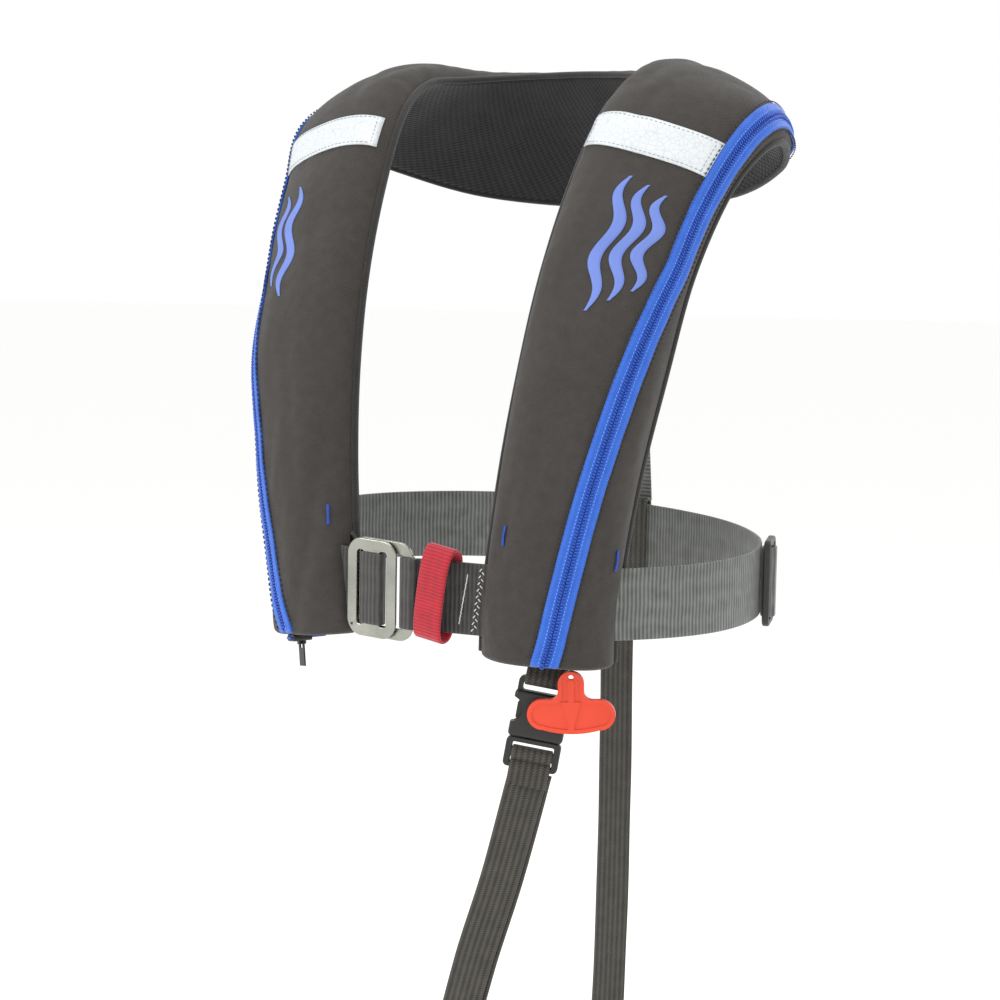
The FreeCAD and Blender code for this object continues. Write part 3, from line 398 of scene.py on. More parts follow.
def gridFaces(rows, columns, closedRows=False, closedColumns=False):
    i = np.arange(rows if closedRows else rows - 1)
    j = np.arange(columns if closedColumns else columns - 1)
    i, j = (a.ravel() for a in np.meshgrid(i, j, indexing="ij"))
    after, right = (i + 1) % rows, (j + 1) % columns
    return np.stack([i * columns + j, after * columns + j, after * columns + right, i * columns + right],
                    axis=1)


def tubeMesh(name, rings, finish, capped=True, uv=None):
    # rings (rows, columns, 3): a closed profile carried along a path, its two ends closed by one face each
    rows, columns = rings.shape[:2]
    faces = gridFaces(rows, columns, closedColumns=True).tolist()
    if capped:
        faces.append(list(range(columns))[::-1])
        faces.append(list(range((rows - 1) * columns, rows * columns)))
    mesh = bpy.data.meshes.new(name)
    mesh.from_pydata(rings.reshape(-1, 3).tolist(), [], faces)
    if uv is not None:
        layer = mesh.uv_layers.new(name="uv")
        loops = np.empty(len(mesh.loops), dtype=np.int32)
        mesh.loops.foreach_get("vertex_index", loops)
        layer.data.foreach_set("uv", uv.reshape(-1, 2)[loops].astype(np.float32).ravel())
    mesh.polygons.foreach_set("use_smooth", np.full(len(mesh.polygons), True))
    mesh.materials.append(finishes[finish])
    obj = bpy.data.objects.new(name, mesh)
    bpy.context.scene.collection.objects.link(obj)
    return outward(obj)


def pieceOf(obj, body, slot, *stands):
    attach(obj, body)
    if stands:
        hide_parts(*stands)
    return obj


def repeated(name, template, faces, places, finish):
    # one small shape (v, 3) set down at every place: (n, 4, 3) rows of origin and three axes
    origins, axes = places[:, 0], places[:, 1:]
    points = origins[:, None, :] + np.einsum("vk,nkc->nvc", template, axes)
    shift = np.arange(len(places))[:, None, None] * len(template)
    return outward(meshFrom(name, points.reshape(-1, 3), (faces[None] + shift).reshape(-1, faces.shape[1]),
                            finish=finish))


def bead(length, width, height, rounds=6, rings=5):
    # a stitch: an ellipse section carried along x, its radius the square root of 1 - x squared
    x = np.sin(np.linspace(-1, 1, rings) * math.pi / 2 * 0.97)
    size = np.sqrt(1 - x ** 2)
    turn = np.arange(rounds) / rounds * 2 * math.pi
    ring = np.stack([np.repeat(x[:, None] * length / 2, rounds, 1), size[:, None] * np.cos(turn) * width / 2,
                     size[:, None] * np.sin(turn) * height / 2], axis=-1)
    return ring.reshape(-1, 3), gridFaces(rings, rounds, closedColumns=True)


# the yoke's surface
# Stations from the foot of the left lobe to the nape, metres: inner edge, outer edge, thickness.
yoke = {
    "half": [((46, -118, -364), (118, -80, -370), 31), ((48, -117, -326), (121, -80, -331), 34),
             ((55, -110, -258), (132, -75, -264), 34), ((61, -98, -198), (145, -66, -202), 33),
             ((66, -80, -140), (151, -43, -142), 31), ((71, -53, -84), (160, -14, -92), 28),
             ((76, -22, -40), (170, 10, -66), 26), ((79, 12, -21), (170, 38, -60), 25),
             ((71, 46, -18), (148, 76, -76), 25), ((42, 71, -16), (92, 106, -94), 24),
             ((0, 79, -15), (0, 116, -100), 24)],
    "leftDrop": 8.0, "crownPower": 2.5, "crownRoot": 2.2, "bow": 3.5, "bowFoot": 7.5, "shoulder": 6,
    "zipFoot": 0.5, "zipEdge": 0.93, "zipLevel": 4.0}


def yokeStations():
    # the left half as listed, with the left lobe's drop growing as the square of the depth, then the right half
    inner = np.array([row[0] for row in yoke["half"]], float)
    outer = np.array([row[1] for row in yoke["half"]], float)
    thick = np.array([row[2] for row in yoke["half"]], float)
    deep = abs(inner[0, 2])
    mirror = np.array([-1.0, 1.0, 1.0])
    both = []
    for edge in (inner, outer):
        left = edge.copy()
        left[:, 2] -= yoke["leftDrop"] * (edge[:, 2] / deep) ** 2
        both.append(np.concatenate([left, (edge * mirror)[-2::-1]]) / 1000)
    return both[0], both[1], np.concatenate([thick, thick[-2::-1]]) / 1000


innerEdge, outerEdge, packThick = yokeStations()
lastStation = len(packThick) - 1


def smoothAt(values, s):
    # cubic through the stations: each span keeps the slope between the stations beside it
    s = np.asarray(s, float)
    i = np.clip(s.astype(int), 0, lastStation - 1)
    u = (s - i).reshape(s.shape + (1,) * (values.ndim - 1))
    p0, p1, p2, p3 = (values[np.clip(i + k, 0, lastStation)] for k in (-1, 0, 1, 2))
    return ((p1 * 2) + (p2 - p0) * u + (p0 * 2 - p1 * 5 + p2 * 4 - p3) * u ** 2
            + (p1 * 3 - p0 - p2 * 3 + p3) * u ** 3) * 0.5


def yokeFrame(s):
    s = np.asarray(s, float)
    inner, outer = smoothAt(innerEdge, s), smoothAt(outerEdge, s)
    middle = (innerEdge + outerEdge) / 2
    along = smoothAt(middle, np.minimum(s + 0.25, lastStation)) - smoothAt(middle, np.maximum(s - 0.25, 0))
    width = np.linalg.norm(outer - inner, axis=-1)
    across = (outer - inner) / width[..., None]
    out = unitRows(np.cross(across, along))
    fromFoot = np.minimum(s, lastStation - s)
    bow = (yoke["bow"] + (yoke["bowFoot"] - yoke["bow"]) * np.maximum(0, 1 - fromFoot / 2.2)) / 1000
    return inner, across, out, width, smoothAt(packThick, s), bow


def crown(t):
    return np.maximum(0, 1 - np.abs(2 * t - 1) ** yoke["crownPower"]) ** (1 / yoke["crownRoot"])


def packPoint(s, t, front=True, lift=0.0):
    # a point of the pack at s along and t across: the crown over the edges' plane, or the bowed back
    inner, across, out, width, thick, bow = yokeFrame(s)
    height = thick * crown(t) if front else bow * (1 - (2 * t - 1) ** 2)
    return inner + across * (width * t)[..., None] + out * (height + lift)[..., None]


# covers
cover = {"perStation": 9, "front": 37, "back": 15, "pressure": 4.0, "cap": 0.0042, "foot": 6,
         "footReach": 0.0060}


def packGrid():
    # closed rings of the whole pack: front across, then back; the first and last rows round off the feet
    body = np.linspace(0, lastStation, lastStation * cover["perStation"] + 1)
    tFront = (1 - np.cos(np.linspace(0, math.pi, cover["front"]))) / 2
    tBack = (1 - np.cos(np.linspace(math.pi, 0, cover["back"])))[1:-1] / 2
    s, t = np.meshgrid(body, tFront, indexing="ij")
    front = packPoint(s, t)
    s, t = np.meshgrid(body, tBack, indexing="ij")
    back = packPoint(s, t, front=False, lift=np.full(s.shape, 0.0004))
    rings = np.concatenate([front, back], axis=1)
    # foot rows: the end ring shrinks to its middle while it sinks by a quarter circle
    angle = np.linspace(0, 1, cover["foot"] + 1)[1:] * math.pi / 2 * 0.93
    ends = []
    for row, inside in ((0, 1), (-1, -2)):
        ring, middle = rings[row], rings[row].mean(axis=0)
        down = unitRows((ring - rings[inside]).mean(axis=0))
        spokes = ring - middle
        reach = np.linalg.norm(spokes, axis=1, keepdims=True)
        inset = np.minimum(cover["footReach"] * 1.15, reach * 0.92) * (1 - np.cos(angle))[:, None, None]
        drop = cover["footReach"] * 0.55 * np.sin(angle)[:, None, None] * down
        ends.append(ring + drop - spokes / reach * inset)
    rings = np.concatenate([ends[0][::-1], rings, ends[1]])
    fall = 0.12 * np.arange(1, cover["foot"] + 1)
    stationOf = np.concatenate([-fall[::-1], body, lastStation + fall])
    return rings, stationOf, tFront


def gridUv(rings):
    # cloth lengths: u runs along the rows, v round the ring, both in metres
    u = np.concatenate([[0], np.cumsum(np.linalg.norm(np.diff(rings.mean(axis=1), axis=0), axis=1))])
    middle = rings[len(rings) // 3]
    v = np.concatenate([[0], np.cumsum(np.linalg.norm(np.diff(middle, axis=0), axis=1))])
    return np.stack(np.meshgrid(u, v, indexing="ij"), axis=-1)


def inflated(rings):
    # the cover is pressed out as the float inside would press it: Cloth under uniform pressure, held at the seams,
    # each move capped
    rows, columns = rings.shape[:2]
    obj = tubeMesh("packCloth", rings, "coverCloth")
    held = np.zeros((rows, columns))
    frontCount = cover["front"]
    held[:, frontCount:] = 1.0
    held[:, 0] = held[:, frontCount - 1] = 1.0
    held[:cover["foot"] + 1] = held[-cover["foot"] - 1:] = 1.0
    for step, weight in ((1, 0.6), (2, 0.3)):
        held[:, step] = np.maximum(held[:, step], weight)
        held[:, frontCount - 1 - step] = np.maximum(held[:, frontCount - 1 - step], weight)
    group = obj.vertex_groups.new(name="held")
    flat = held.ravel()
    for weight in np.unique(flat[flat > 0]):
        group.add(np.nonzero(flat == weight)[0].tolist(), float(weight), "REPLACE")
    cloth = obj.modifiers.new("cloth", "CLOTH")
    settings = cloth.settings
    settings.vertex_group_mass = "held"
    settings.quality, settings.mass = 6, 0.25
    settings.tension_stiffness = settings.compression_stiffness = 12.0
    settings.shear_stiffness, settings.bending_stiffness = 4.0, 0.4
    settings.use_pressure, settings.uniform_pressure_force = True, cover["pressure"]
    settings.effector_weights.gravity = 0.0
    cloth.collision_settings.use_collision = False
    scene = bpy.context.scene
    for step in range(1, 21):
        scene.frame_set(step)
    evaluated = obj.evaluated_get(bpy.context.evaluated_depsgraph_get())
    result = np.empty(rows * columns * 3, dtype=np.float32)
    evaluated.data.vertices.foreach_get("co", result)
    scene.frame_set(1)
    bpy.data.objects.remove(obj)
    move = result.reshape(rows, columns, 3) - rings
    size = np.linalg.norm(move, axis=-1, keepdims=True)
    return rings + move * np.minimum(1, cover["cap"] / np.maximum(size, 1e-9))


def creased(rings, stationOf):
    # creases in the cloth: each is a shallow trough along a slanted line that dies away at both ends, on a slow roll
    # of the surface and fine puckers beside the seams
    frontCount = cover["front"]
    t = (1 - np.cos(np.linspace(0, math.pi, frontCount))) / 2
    s, t = np.meshgrid(stationOf, t, indexing="ij")
    depth = np.zeros_like(s)
    for place, across, slant, reach, width, amount in creases:
        line = t - across - slant * (s - place)
        depth += amount * np.exp(-(line / width) ** 2 - ((s - place) / reach) ** 2)
    roll = 0.0006 * np.sin(s * 2.1 + 3.0 * t) + 0.0005 * np.sin(s * 4.7 - 5.0 * t + 1.0)
    edge = np.exp(-((t - 0.02) / 0.06) ** 2) + np.exp(-((t - 0.98) / 0.06) ** 2)
    pucker = 0.0007 * edge * np.sin(s * 31.0 + 4.0 * np.sin(s * 3.0))
    du = np.gradient(rings[:, :frontCount], axis=0)
    dv = np.gradient(rings[:, :frontCount], axis=1)
    normal = unitRows(np.cross(dv, du) + 1e-12)
    outwardSign = np.sign(np.sum(normal * yokeFrame(np.clip(s, 0, lastStation))[2], axis=-1, keepdims=True))
    fade = np.clip(np.minimum(t, 1 - t) / 0.05, 0, 1) * np.clip((np.minimum(s,
                                                                            lastStation - s) + 0.3) / 0.5, 0, 1)
    result = rings.copy()
    result[:, :frontCount] += normal * outwardSign * ((depth + roll + pucker) * fade)[..., None]
    return result


# place along, place across, slant, reach along, width across, depth in metres
creases = [
    (1.5, 0.10, 0.10, 0.50, 0.05, -0.0022), (1.0, 0.22, -0.16, 0.55, 0.05, -0.0018),
    (2.1, 0.28, 0.08, 0.70, 0.06, -0.0014), (3.0, 0.55, -0.05, 0.80, 0.10, 0.0012),
    (4.1, 0.25, 0.06, 0.60, 0.07, -0.0012), (5.9, 0.30, 0.05, 0.40, 0.06, -0.0016),
    (6.6, 0.18, -0.08, 0.40, 0.05, -0.0022), (7.4, 0.35, 0.10, 0.45, 0.06, -0.0018),
    (0.6, 0.75, 0.12, 0.50, 0.06, -0.0016), (1.4, 0.86, -0.10, 0.45, 0.05, -0.0018),
    (18.5, 0.12, 0.10, 0.50, 0.05, -0.0024), (19.2, 0.25, 0.14, 0.50, 0.05, -0.0020),
    (17.6, 0.30, -0.08, 0.70, 0.06, -0.0014), (16.4, 0.60, 0.05, 0.80, 0.09, 0.0012),
    (15.6, 0.25, -0.06, 0.50, 0.06, -0.0014), (13.6, 0.30, -0.10, 0.35, 0.05, -0.0030),
    (13.2, 0.15, 0.12, 0.40, 0.05, -0.0026), (12.4, 0.40, 0.08, 0.50, 0.07, -0.0018),
    (19.3, 0.80, -0.12, 0.50, 0.06, -0.0018), (10.0, 0.35, 0.0, 1.20, 0.08, -0.0016)]


def makeSurface():
    rings, stationOf, tFront = packGrid()
    rings = inflated(rings)
    rings = creased(rings, stationOf)
    print("yoke surface", rings.shape)
    return rings, stationOf, tFront


def onSurface(s, t):
    # point on the finished front surface, bilinear in the grid's rows and columns
    row = np.interp(s, surface["stations"], np.arange(len(surface["stations"])))
    column = np.interp(t, surface["t"], np.arange(len(surface["t"])))
    i = np.clip(row.astype(int), 0, len(surface["stations"]) - 2)
    j = np.clip(column.astype(int), 0, len(surface["t"]) - 2)
    a, b = (row - i)[..., None], (column - j)[..., None]
    grid = surface["rings"]
    return (grid[i, j] * (1 - a) * (1 - b) + grid[i + 1, j] * a * (1 - b)
            + grid[i, j + 1] * (1 - a) * b + grid[i + 1, j + 1] * a * b)


def surfaceAxes(s, t):
    # point, unit directions along and across, and the outward normal, from small steps on the surface
    step = 0.012
    point = onSurface(s, t)
    along = unitRows(onSurface(s + step * 4, t) - onSurface(s - step * 4, t))
    across = unitRows(onSurface(s, np.clip(t + step, 0, 1)) - onSurface(s, np.clip(t - step, 0, 1)))
    normal = unitRows(np.cross(across, along))
    out = yokeFrame(np.clip(s, 0, lastStation))[2]
    side = np.clip((np.asarray(t) - 0.5) * 2, -1, 1)[..., None]
    lean = out + side * 1.5 * yokeFrame(np.clip(s, 0, lastStation))[1]
    normal = normal * np.sign(np.sum(normal * lean, axis=-1, keepdims=True))
    return point, along, unitRows(np.cross(normal, along) * np.sign(
        np.sum(np.cross(normal, along) * across, axis=-1, keepdims=True))), normal


def makeCovers():
    piece = tubeMesh("coverCloth", surface["rings"], "coverCloth", uv=gridUv(surface["rings"]))
    subdivision = piece.modifiers.new("smooth", "SUBSURF")
    subdivision.levels = subdivision.render_levels = 1
    pieceOf(piece, "jacket", "cover_cloth", "cover_left", "cover_collar", "cover_right")
    print("covers made")


# back panels and their binding
panel = {"thick": 0.0020, "gap": 0.0004, "columns": 19}


def makePanels():
    split = yoke["shoulder"]
    parts = [("backPanelLeft", 0.0, split, "back_panel_left"),
             ("backPanelCollar", split, lastStation - split, "back_panel_collar"),
             ("backPanelRight", lastStation - split, lastStation, "back_panel_right")]
    for name, low, high, node in parts:
        s = np.linspace(low, high, int((high - low) * 8) + 1)
        t = np.linspace(0, 1, panel["columns"])
        sGrid, tGrid = np.meshgrid(s, t, indexing="ij")
        lens = 0.0009 * np.sin(math.pi * tGrid) * np.sin(sGrid * 5.2) ** 2
        top = packPoint(sGrid, tGrid, False, np.full(sGrid.shape, -panel["gap"]))
        low2 = packPoint(sGrid, tGrid, False, -panel["gap"] - panel["thick"] - lens)
        rings = np.concatenate([top, low2[:, ::-1]], axis=1)
        piece = tubeMesh(name, rings, "backMesh", uv=gridUv(rings))
        pieceOf(piece, "jacket", "back_mesh", node)
    # binding tape folded round the whole outline of the seam
    for side, t in (("Inner", 0.0), ("Outer", 1.0)):
        s = np.linspace(0, lastStation, lastStation * 8 + 1)
        inner, across, out, width = yokeFrame(s)[:4]
        edge = inner + across * (width * t)[:, None]
        turn = np.linspace(0, 2 * math.pi, 14, endpoint=False)
        reach = across * (1 if t else -1)
        profile = (np.cos(turn)[None, :, None] * reach[:, None, :] * 0.0021
                   + np.sin(turn)[None, :, None] * out[:, None, :] * 0.0026)
        rings = edge[:, None, :] - out[:, None, :] * 0.0010 + profile
        piece = tubeMesh("seamBinding" + side, rings, "binding", uv=gridUv(rings))
        pieceOf(piece, "jacket", "cover_cloth")
    print("back panels made")


# zip
zipper = {"coilOffset": 0.00130, "pitch": 0.00190, "tooth": (0.0027, 0.00125, 0.0018)}


def zipShare(s):
    # a straight climb from the foot to the outer edge
    fromFoot = np.clip(np.minimum(s, lastStation - s), 0, None)
    return yoke["zipFoot"] + (yoke["zipEdge"] - yoke["zipFoot"]) * np.minimum(1, fromFoot / yoke["zipLevel"])


def evened(values, reach):
    # moving average along the rows, its ends repeated
    padded = np.concatenate([np.repeat(values[:1], reach, 0), values, np.repeat(values[-1:], reach, 0)])
    total = np.cumsum(np.concatenate([np.zeros((1, values.shape[1])), padded]), axis=0)
    return (total[2 * reach + 1:] - total[:-2 * reach - 1]) / (2 * reach + 1)


def makeZipRibbon():
    # the zip's middle line, smoothed as a stiff ribbon, with its run length and its three directions
    s = np.linspace(-0.30, lastStation + 0.30, 1600)
    point, along, across, normal = surfaceAxes(s, zipShare(s))
    point = evened(evened(point, 14), 10)
    run = np.concatenate([[0], np.cumsum(np.linalg.norm(np.diff(point, axis=0), axis=1))])
    along = unitRows(np.gradient(point, axis=0))
    normal = evened(evened(normal, 26), 20)
    normal = unitRows(normal - along * np.sum(normal * along, axis=1, keepdims=True))
    across = np.cross(normal, along)
    towards = yokeFrame(np.clip(s, 0, lastStation))[1]
    across = across * np.sign(np.sum(across * towards, axis=1, keepdims=True))
    return {"run": run, "point": point, "along": along, "across": across, "normal": normal}


def onZip(where):
    # point and directions at run lengths along the zip
    parts = []
    for name in ("point", "along", "across", "normal"):
        parts.append(np.stack([np.interp(where, ribbon["run"], ribbon[name][:, k]) for k in range(3)],
                              axis=1))
    return parts[0], unitRows(parts[1]), unitRows(parts[2]), unitRows(parts[3])


def zipRow(name, away, lift, pitch, size, finish, slot):
    # a row of stitches at a fixed distance from the zip's middle line
    where = np.arange(pitch, ribbon["run"][-1] - pitch, pitch)
    point, along, across, normal = onZip(where)
    origin = point + across * away + normal * lift
    template, faces = bead(*size)
    places = np.stack([origin, along, np.cross(normal, along), normal], axis=1)
    return pieceOf(repeated(name, template, faces, places, finish), "jacket", slot)


def makeZip():
    length = ribbon["run"][-1]
    where = np.linspace(0, length, 700)
    point, along, across, normal = onZip(where)
    wobble = 0.00022 * np.sin(where * 2 * math.pi / 0.031)
    for name, side in (("zipTapeInner", -1), ("zipTapeOuter", 1)):
        # a tape half: flat, with a thicker sewn-in outer edge and a low inner edge under the coil
        w = np.array([0.0002, 0.0030, 0.0050, 0.0072, 0.0086, 0.0086, 0.0072, 0.0050, 0.0030, 0.0002]) * side
        h = np.array([0.0007, 0.0010, 0.0012, 0.0012, 0.0006, -0.0006, -0.0008, -0.0008, -0.0008, -0.0008])
        free = np.array([0, 0, .5, 1, 1, 1, 1, .5, 0, 0])
        rings = (point[:, None, :] + across[:, None, :] * w[None, :, None]
                 + normal[:, None, :] * (h[None, :] + wobble[:, None] * free)[..., None])
        uv = np.stack([np.repeat(where[:, None], len(w), 1), np.repeat(w[None, :], len(where), 0)], axis=-1)
        piece = tubeMesh(name, rings, "zipTape", uv=uv)
        pieceOf(piece, "jacket", "zip_tape", *(("zip_tape",) if side < 0 else ()))
    # coil teeth: slanted beads in two rows that lock in the middle
    count = int(length / zipper["pitch"])
    template, faces = bead(*zipper["tooth"])
    for name, side in (("zipTeethInner", -1), ("zipTeethOuter", 1)):
        point, along, across, normal = onZip((np.arange(count) + (0.5 if side > 0 else 0.0)) * zipper["pitch"])
        direction = unitRows(across * side + along * 0.35)
        third = np.cross(normal, direction)
        origin = point + across * (side * zipper["coilOffset"]) + normal * 0.0015
        piece = repeated(name, template, faces, np.stack([origin, direction, third, normal], axis=1),
                         "zipCoil")
        pieceOf(piece, "jacket", "zip_coil", *(("zip_coil",) if side < 0 else ()))
    for label, side in (("Inner", -1), ("Outer", 1)):
        zipRow("zipTopstitch" + label, side * 0.0100, 0.0004, 0.0034, (0.0024, 0.0010, 0.0012), "darkThread",
               "cover_cloth")
        zipRow("coilThread" + label, side * 0.0037, 0.0013, 0.0023, (0.0015, 0.0006, 0.0006), "coilThread",
               "zip_tape")
    print("zip made", round(length, 3), "m,", count, "teeth a side")


# stitches
def stitchLine(name, s, t, finish, slot, pitch=0.0034, size=(0.0024, 0.0007, 0.0006), lift=0.0003,
               body="jacket"):
    # evenly spaced stitches along a line of the cover
    fine = np.linspace(0, 1, 900)
    sFine = np.interp(fine, np.linspace(0, 1, len(s)), s)
    tFine = np.interp(fine, np.linspace(0, 1, len(t)), t)
    points = onSurface(sFine, tFine)
    run = np.concatenate([[0], np.cumsum(np.linalg.norm(np.diff(points, axis=0), axis=1))])
    where = np.arange(pitch / 2, run[-1], pitch)
    sAt, tAt = np.interp(where, run, sFine), np.interp(where, run, tFine)
    point, _, _, normal = surfaceAxes(sAt, tAt)
    ahead = np.stack([np.interp(where + 0.0005, run, points[:, k]) for k in range(3)], axis=1)
    behind = np.stack([np.interp(where - 0.0005, run, points[:, k]) for k in range(3)], axis=1)
    direction = unitRows(ahead - behind)
    normal = unitRows(normal - direction * np.sum(normal * direction, axis=1, keepdims=True))
    third = np.cross(normal, direction)
    places = np.stack([point + normal * lift, direction, third, normal], axis=1)
    template, faces = bead(*size)
    return pieceOf(repeated(name, template, faces, places, finish), body, slot)


# bar tacks and belt slits
tacks = {"places": [(1.50, 0.105, "Left1"), (1.36, 0.955, "Left2"), (18.49, 0.045, "Right1"),
                    (18.60, 0.955, "Right2")],
         "long": 0.0120, "wide": 0.0021, "passes": 15}


def makeTacks():
    # a bar tack: a zigzag thread, its sideways swing a triangle wave of the length
    count = tacks["passes"] * 6
    along = np.linspace(-0.5, 0.5, count)
    swing = np.abs(((along + 0.5) * tacks["passes"]) % 1.0 * 2 - 1) * 2 - 1
    turn = np.linspace(0, 2 * math.pi, 6, endpoint=False)
    for s, t, label in tacks["places"]:
        point, ahead, across, normal = (v[0] for v in surfaceAxes(np.array([s]), np.array([t])))
        path = (point + ahead * (along * tacks["long"])[:, None] + across * (swing * tacks["wide"] / 2)[:,
                                                                                                        None]
                + normal * (0.0009 + 0.0003 * np.cos(along * 2 * math.pi))[:, None])
        tangent = unitRows(np.gradient(path, axis=0))
        side = unitRows(np.cross(tangent, normal))
        up = np.cross(side, tangent)
        rings = (path[:, None, :] + side[:, None, :] * (np.cos(turn) * 0.00055)[None, :, None]
                 + up[:, None, :] * (np.sin(turn) * 0.00045)[None, :, None])
        piece = tubeMesh("barTack" + label, rings, "blueThread")
        pieceOf(piece, "jacket", "blue_thread", *(("bar_tacks",) if label == "Left1" else ()))
    print("bar tacks made")


slit = {"top": (-0.0462, -0.1265, -0.3030), "foot": (-0.0440, -0.1300, -0.3600), "reach": 0.0085,
        "depth": 0.0030,
        "lip": 0.0011}


def makeSlitMouth():
    # the right lobe's gaping belt slit: a hollow painted near-black as shade, whose width is the square root of a
    # half sine, with a turned lip along its free edge and the float's cloth just inside its top
    top, foot = np.array(slit["top"]), np.array(slit["foot"])
    u = np.linspace(0, 1, 41)
    v = np.linspace(0, 1, 9)
    wide = slit["reach"] * np.sqrt(np.sin(math.pi * np.clip(u, 0.004, 0.996)))
    uGrid, vGrid = np.meshgrid(u, v, indexing="ij")
    line = top + (foot - top) * uGrid[..., None]
    reach = np.array([0.93, 0.36, 0.0])
    sink = np.array([-0.36, 0.93, 0.0])
    hollow = (line + reach * (wide[:, None] * vGrid)[..., None]
              + sink * (slit["depth"] * np.sin(math.pi * vGrid) * (wide / slit["reach"])[:, None])[..., None])
    back = hollow + sink * 0.0012
    rings = np.concatenate([hollow, back[:, ::-1]], axis=1)
    # painted shade: the hollow is coloured near-black in place of the shadow inside the slit
    pieceOf(tubeMesh("slitHollowRight", rings, "slitShade", uv=gridUv(rings)), "jacket", "cover_cloth")
    edge = hollow[:, -1]
    tangent = unitRows(np.gradient(edge, axis=0))
    side = unitRows(np.cross(tangent, sink))
    turn = np.linspace(0, 2 * math.pi, 10, endpoint=False)
    tube = (edge[:, None, :] + side[:, None, :] * (np.cos(turn) * slit["lip"])[None, :, None]
            + sink * (np.sin(turn) * slit["lip"])[None, :, None])
    pieceOf(tubeMesh("slitLipRight", tube, "coverCloth", uv=gridUv(tube)), "jacket", "cover_cloth")
    spot = np.linspace(0, 2 * math.pi, 24, endpoint=False)
    centre = top + (foot - top) * 0.22 + reach * 0.0022 - sink * 0.0002
    down = unitRows(foot - top)
    flat = np.stack([centre + reach * (np.cos(spot) * r * 0.0014)[:,
                                                                  None] + down * (np.sin(spot) * r * 0.0050)[:, None]
                     - sink * h for r, h in ((1.0, 0.0), (0.9, 0.0006), (0.4, 0.0008))])
    pieceOf(tubeMesh("floatGlimpse", flat, "glimpseGreen"), "jacket", "float_cloth", "status_label")
    print("slit mouth made")


# reflective patches
patch = {"inner": 5.53, "outer": 5.26, "halfInner": 0.20, "halfOuter": 0.28, "low": 0.02, "high": 0.872,
         "lift": 0.0006}


def patchPlace(side, along, t):
    # along runs from -1 to 1 over the strip's width; place and width change evenly from inner to outer end
    share = (t - patch["low"]) / (patch["high"] - patch["low"])
    place = patch["inner"] + (patch["outer"] - patch["inner"]) * share
    half = patch["halfInner"] + (patch["halfOuter"] - patch["halfInner"]) * share
    s = place + half * along
    return s if side > 0 else lastStation - s


def sheetOn(name, s, t, lift, thick, finish):
    # a thin sheet laid on the cover: the surface raised by lift, closed below
    point, _, _, normal = surfaceAxes(s, t)
    top, under = point + normal * (lift + thick), point + normal * lift * 0.2
    edgeDrop = np.zeros(s.shape)
    edgeDrop[[0, -1], :] = edgeDrop[:, [0, -1]] = 1
    top = top - normal * (edgeDrop * thick * 0.5)[..., None]
    rows, columns = s.shape
    run = np.cumsum(np.concatenate([[0], np.linalg.norm(np.diff(point[:, columns // 2], axis=0), axis=1)]))
    wide = np.cumsum(np.concatenate([[0], np.linalg.norm(np.diff(point[rows // 2], axis=0), axis=1)]))
    uv = np.stack(np.meshgrid(run, wide, indexing="ij"), axis=-1).reshape(-1, 2)
    count = rows * columns
    faces = [gridFaces(rows, columns), gridFaces(rows, columns)[:, ::-1] + count]
    rim = np.concatenate([np.arange(columns), np.arange(2 * columns - 1, count, columns),
                          np.arange(count - 2, count - columns - 1, -1), np.arange(count - 2 * columns, 0,
                                                                                   -columns)])
    after = np.roll(rim, -1)
    faces.append(np.stack([rim, after, after + count, rim + count], axis=1))
    points = np.concatenate([top.reshape(-1, 3), under.reshape(-1, 3)])
    return outward(meshFrom(name, points, np.concatenate(faces), uv=np.concatenate([uv, uv]), finish=finish))


def makePatches():
    for name, side, node in (("reflectivePatchLeft", 1, "reflective_patch_left"),
                             ("reflectivePatchRight", -1, "reflective_patch_right")):
        along, t = np.meshgrid(np.linspace(-1, 1, 13), np.linspace(patch["low"], patch["high"], 45),
                               indexing="ij")
        pieceOf(sheetOn(name, patchPlace(side, along, t), t, patch["lift"], 0.0007, "reflective"), "jacket",
                "reflective", node)
        lowT, highT, near = patch["low"] + 0.022, patch["high"] - 0.022, 0.86
        lanes = [[(-near, lowT), (near, lowT), (near, highT), (-near, highT), (-near, lowT)],
                 [(-near, highT - 0.030), (near, highT - 0.030)]]
        for number, corners in enumerate(lanes):
            reach = np.linspace(0, len(corners) - 1, 400)
            alongLine = np.interp(reach, range(len(corners)), [c[0] for c in corners])
            tLine = np.interp(reach, range(len(corners)), [c[1] for c in corners])
            stitchLine(f"{name}Stitch{number + 1}", patchPlace(side, alongLine, tLine), tLine, "patchThread",
                       "reflective", pitch=0.0030, size=(0.0022, 0.0007, 0.0006), lift=patch["lift"] + 0.0008)
    print("reflective patches made")


# printed waves: a generic mark in place of wording
waves = {"left": (3.50, 4.88, 0.36, 0.76), "right": (3.55, 4.72, 0.44, 0.72), "lift": 0.00035}


def waveStripe(name, side, low, high, t0, t1, phase):
    # a stripe along the lobe whose middle swings as a sine and whose width tapers to both ends
    s = np.linspace(low, high, 90)
    share = (s - low) / (high - low)
    middle = (t0 + t1) / 2 + (t1 - t0) * 0.30 * np.sin(share * 4 * math.pi + phase)
    half = (t1 - t0) * 0.34 * np.sin(math.pi * np.clip(share, 0.02, 0.98)) ** 0.5
    t = middle[:, None] + half[:, None] * np.linspace(-1, 1, 5)[None, :]
    s = np.repeat(s[:, None], 5, 1)
    piece = sheetOn(name, s if side > 0 else lastStation - s, t, waves["lift"], 0.00018, "print")
    return pieceOf(piece, "jacket", "cover_cloth")


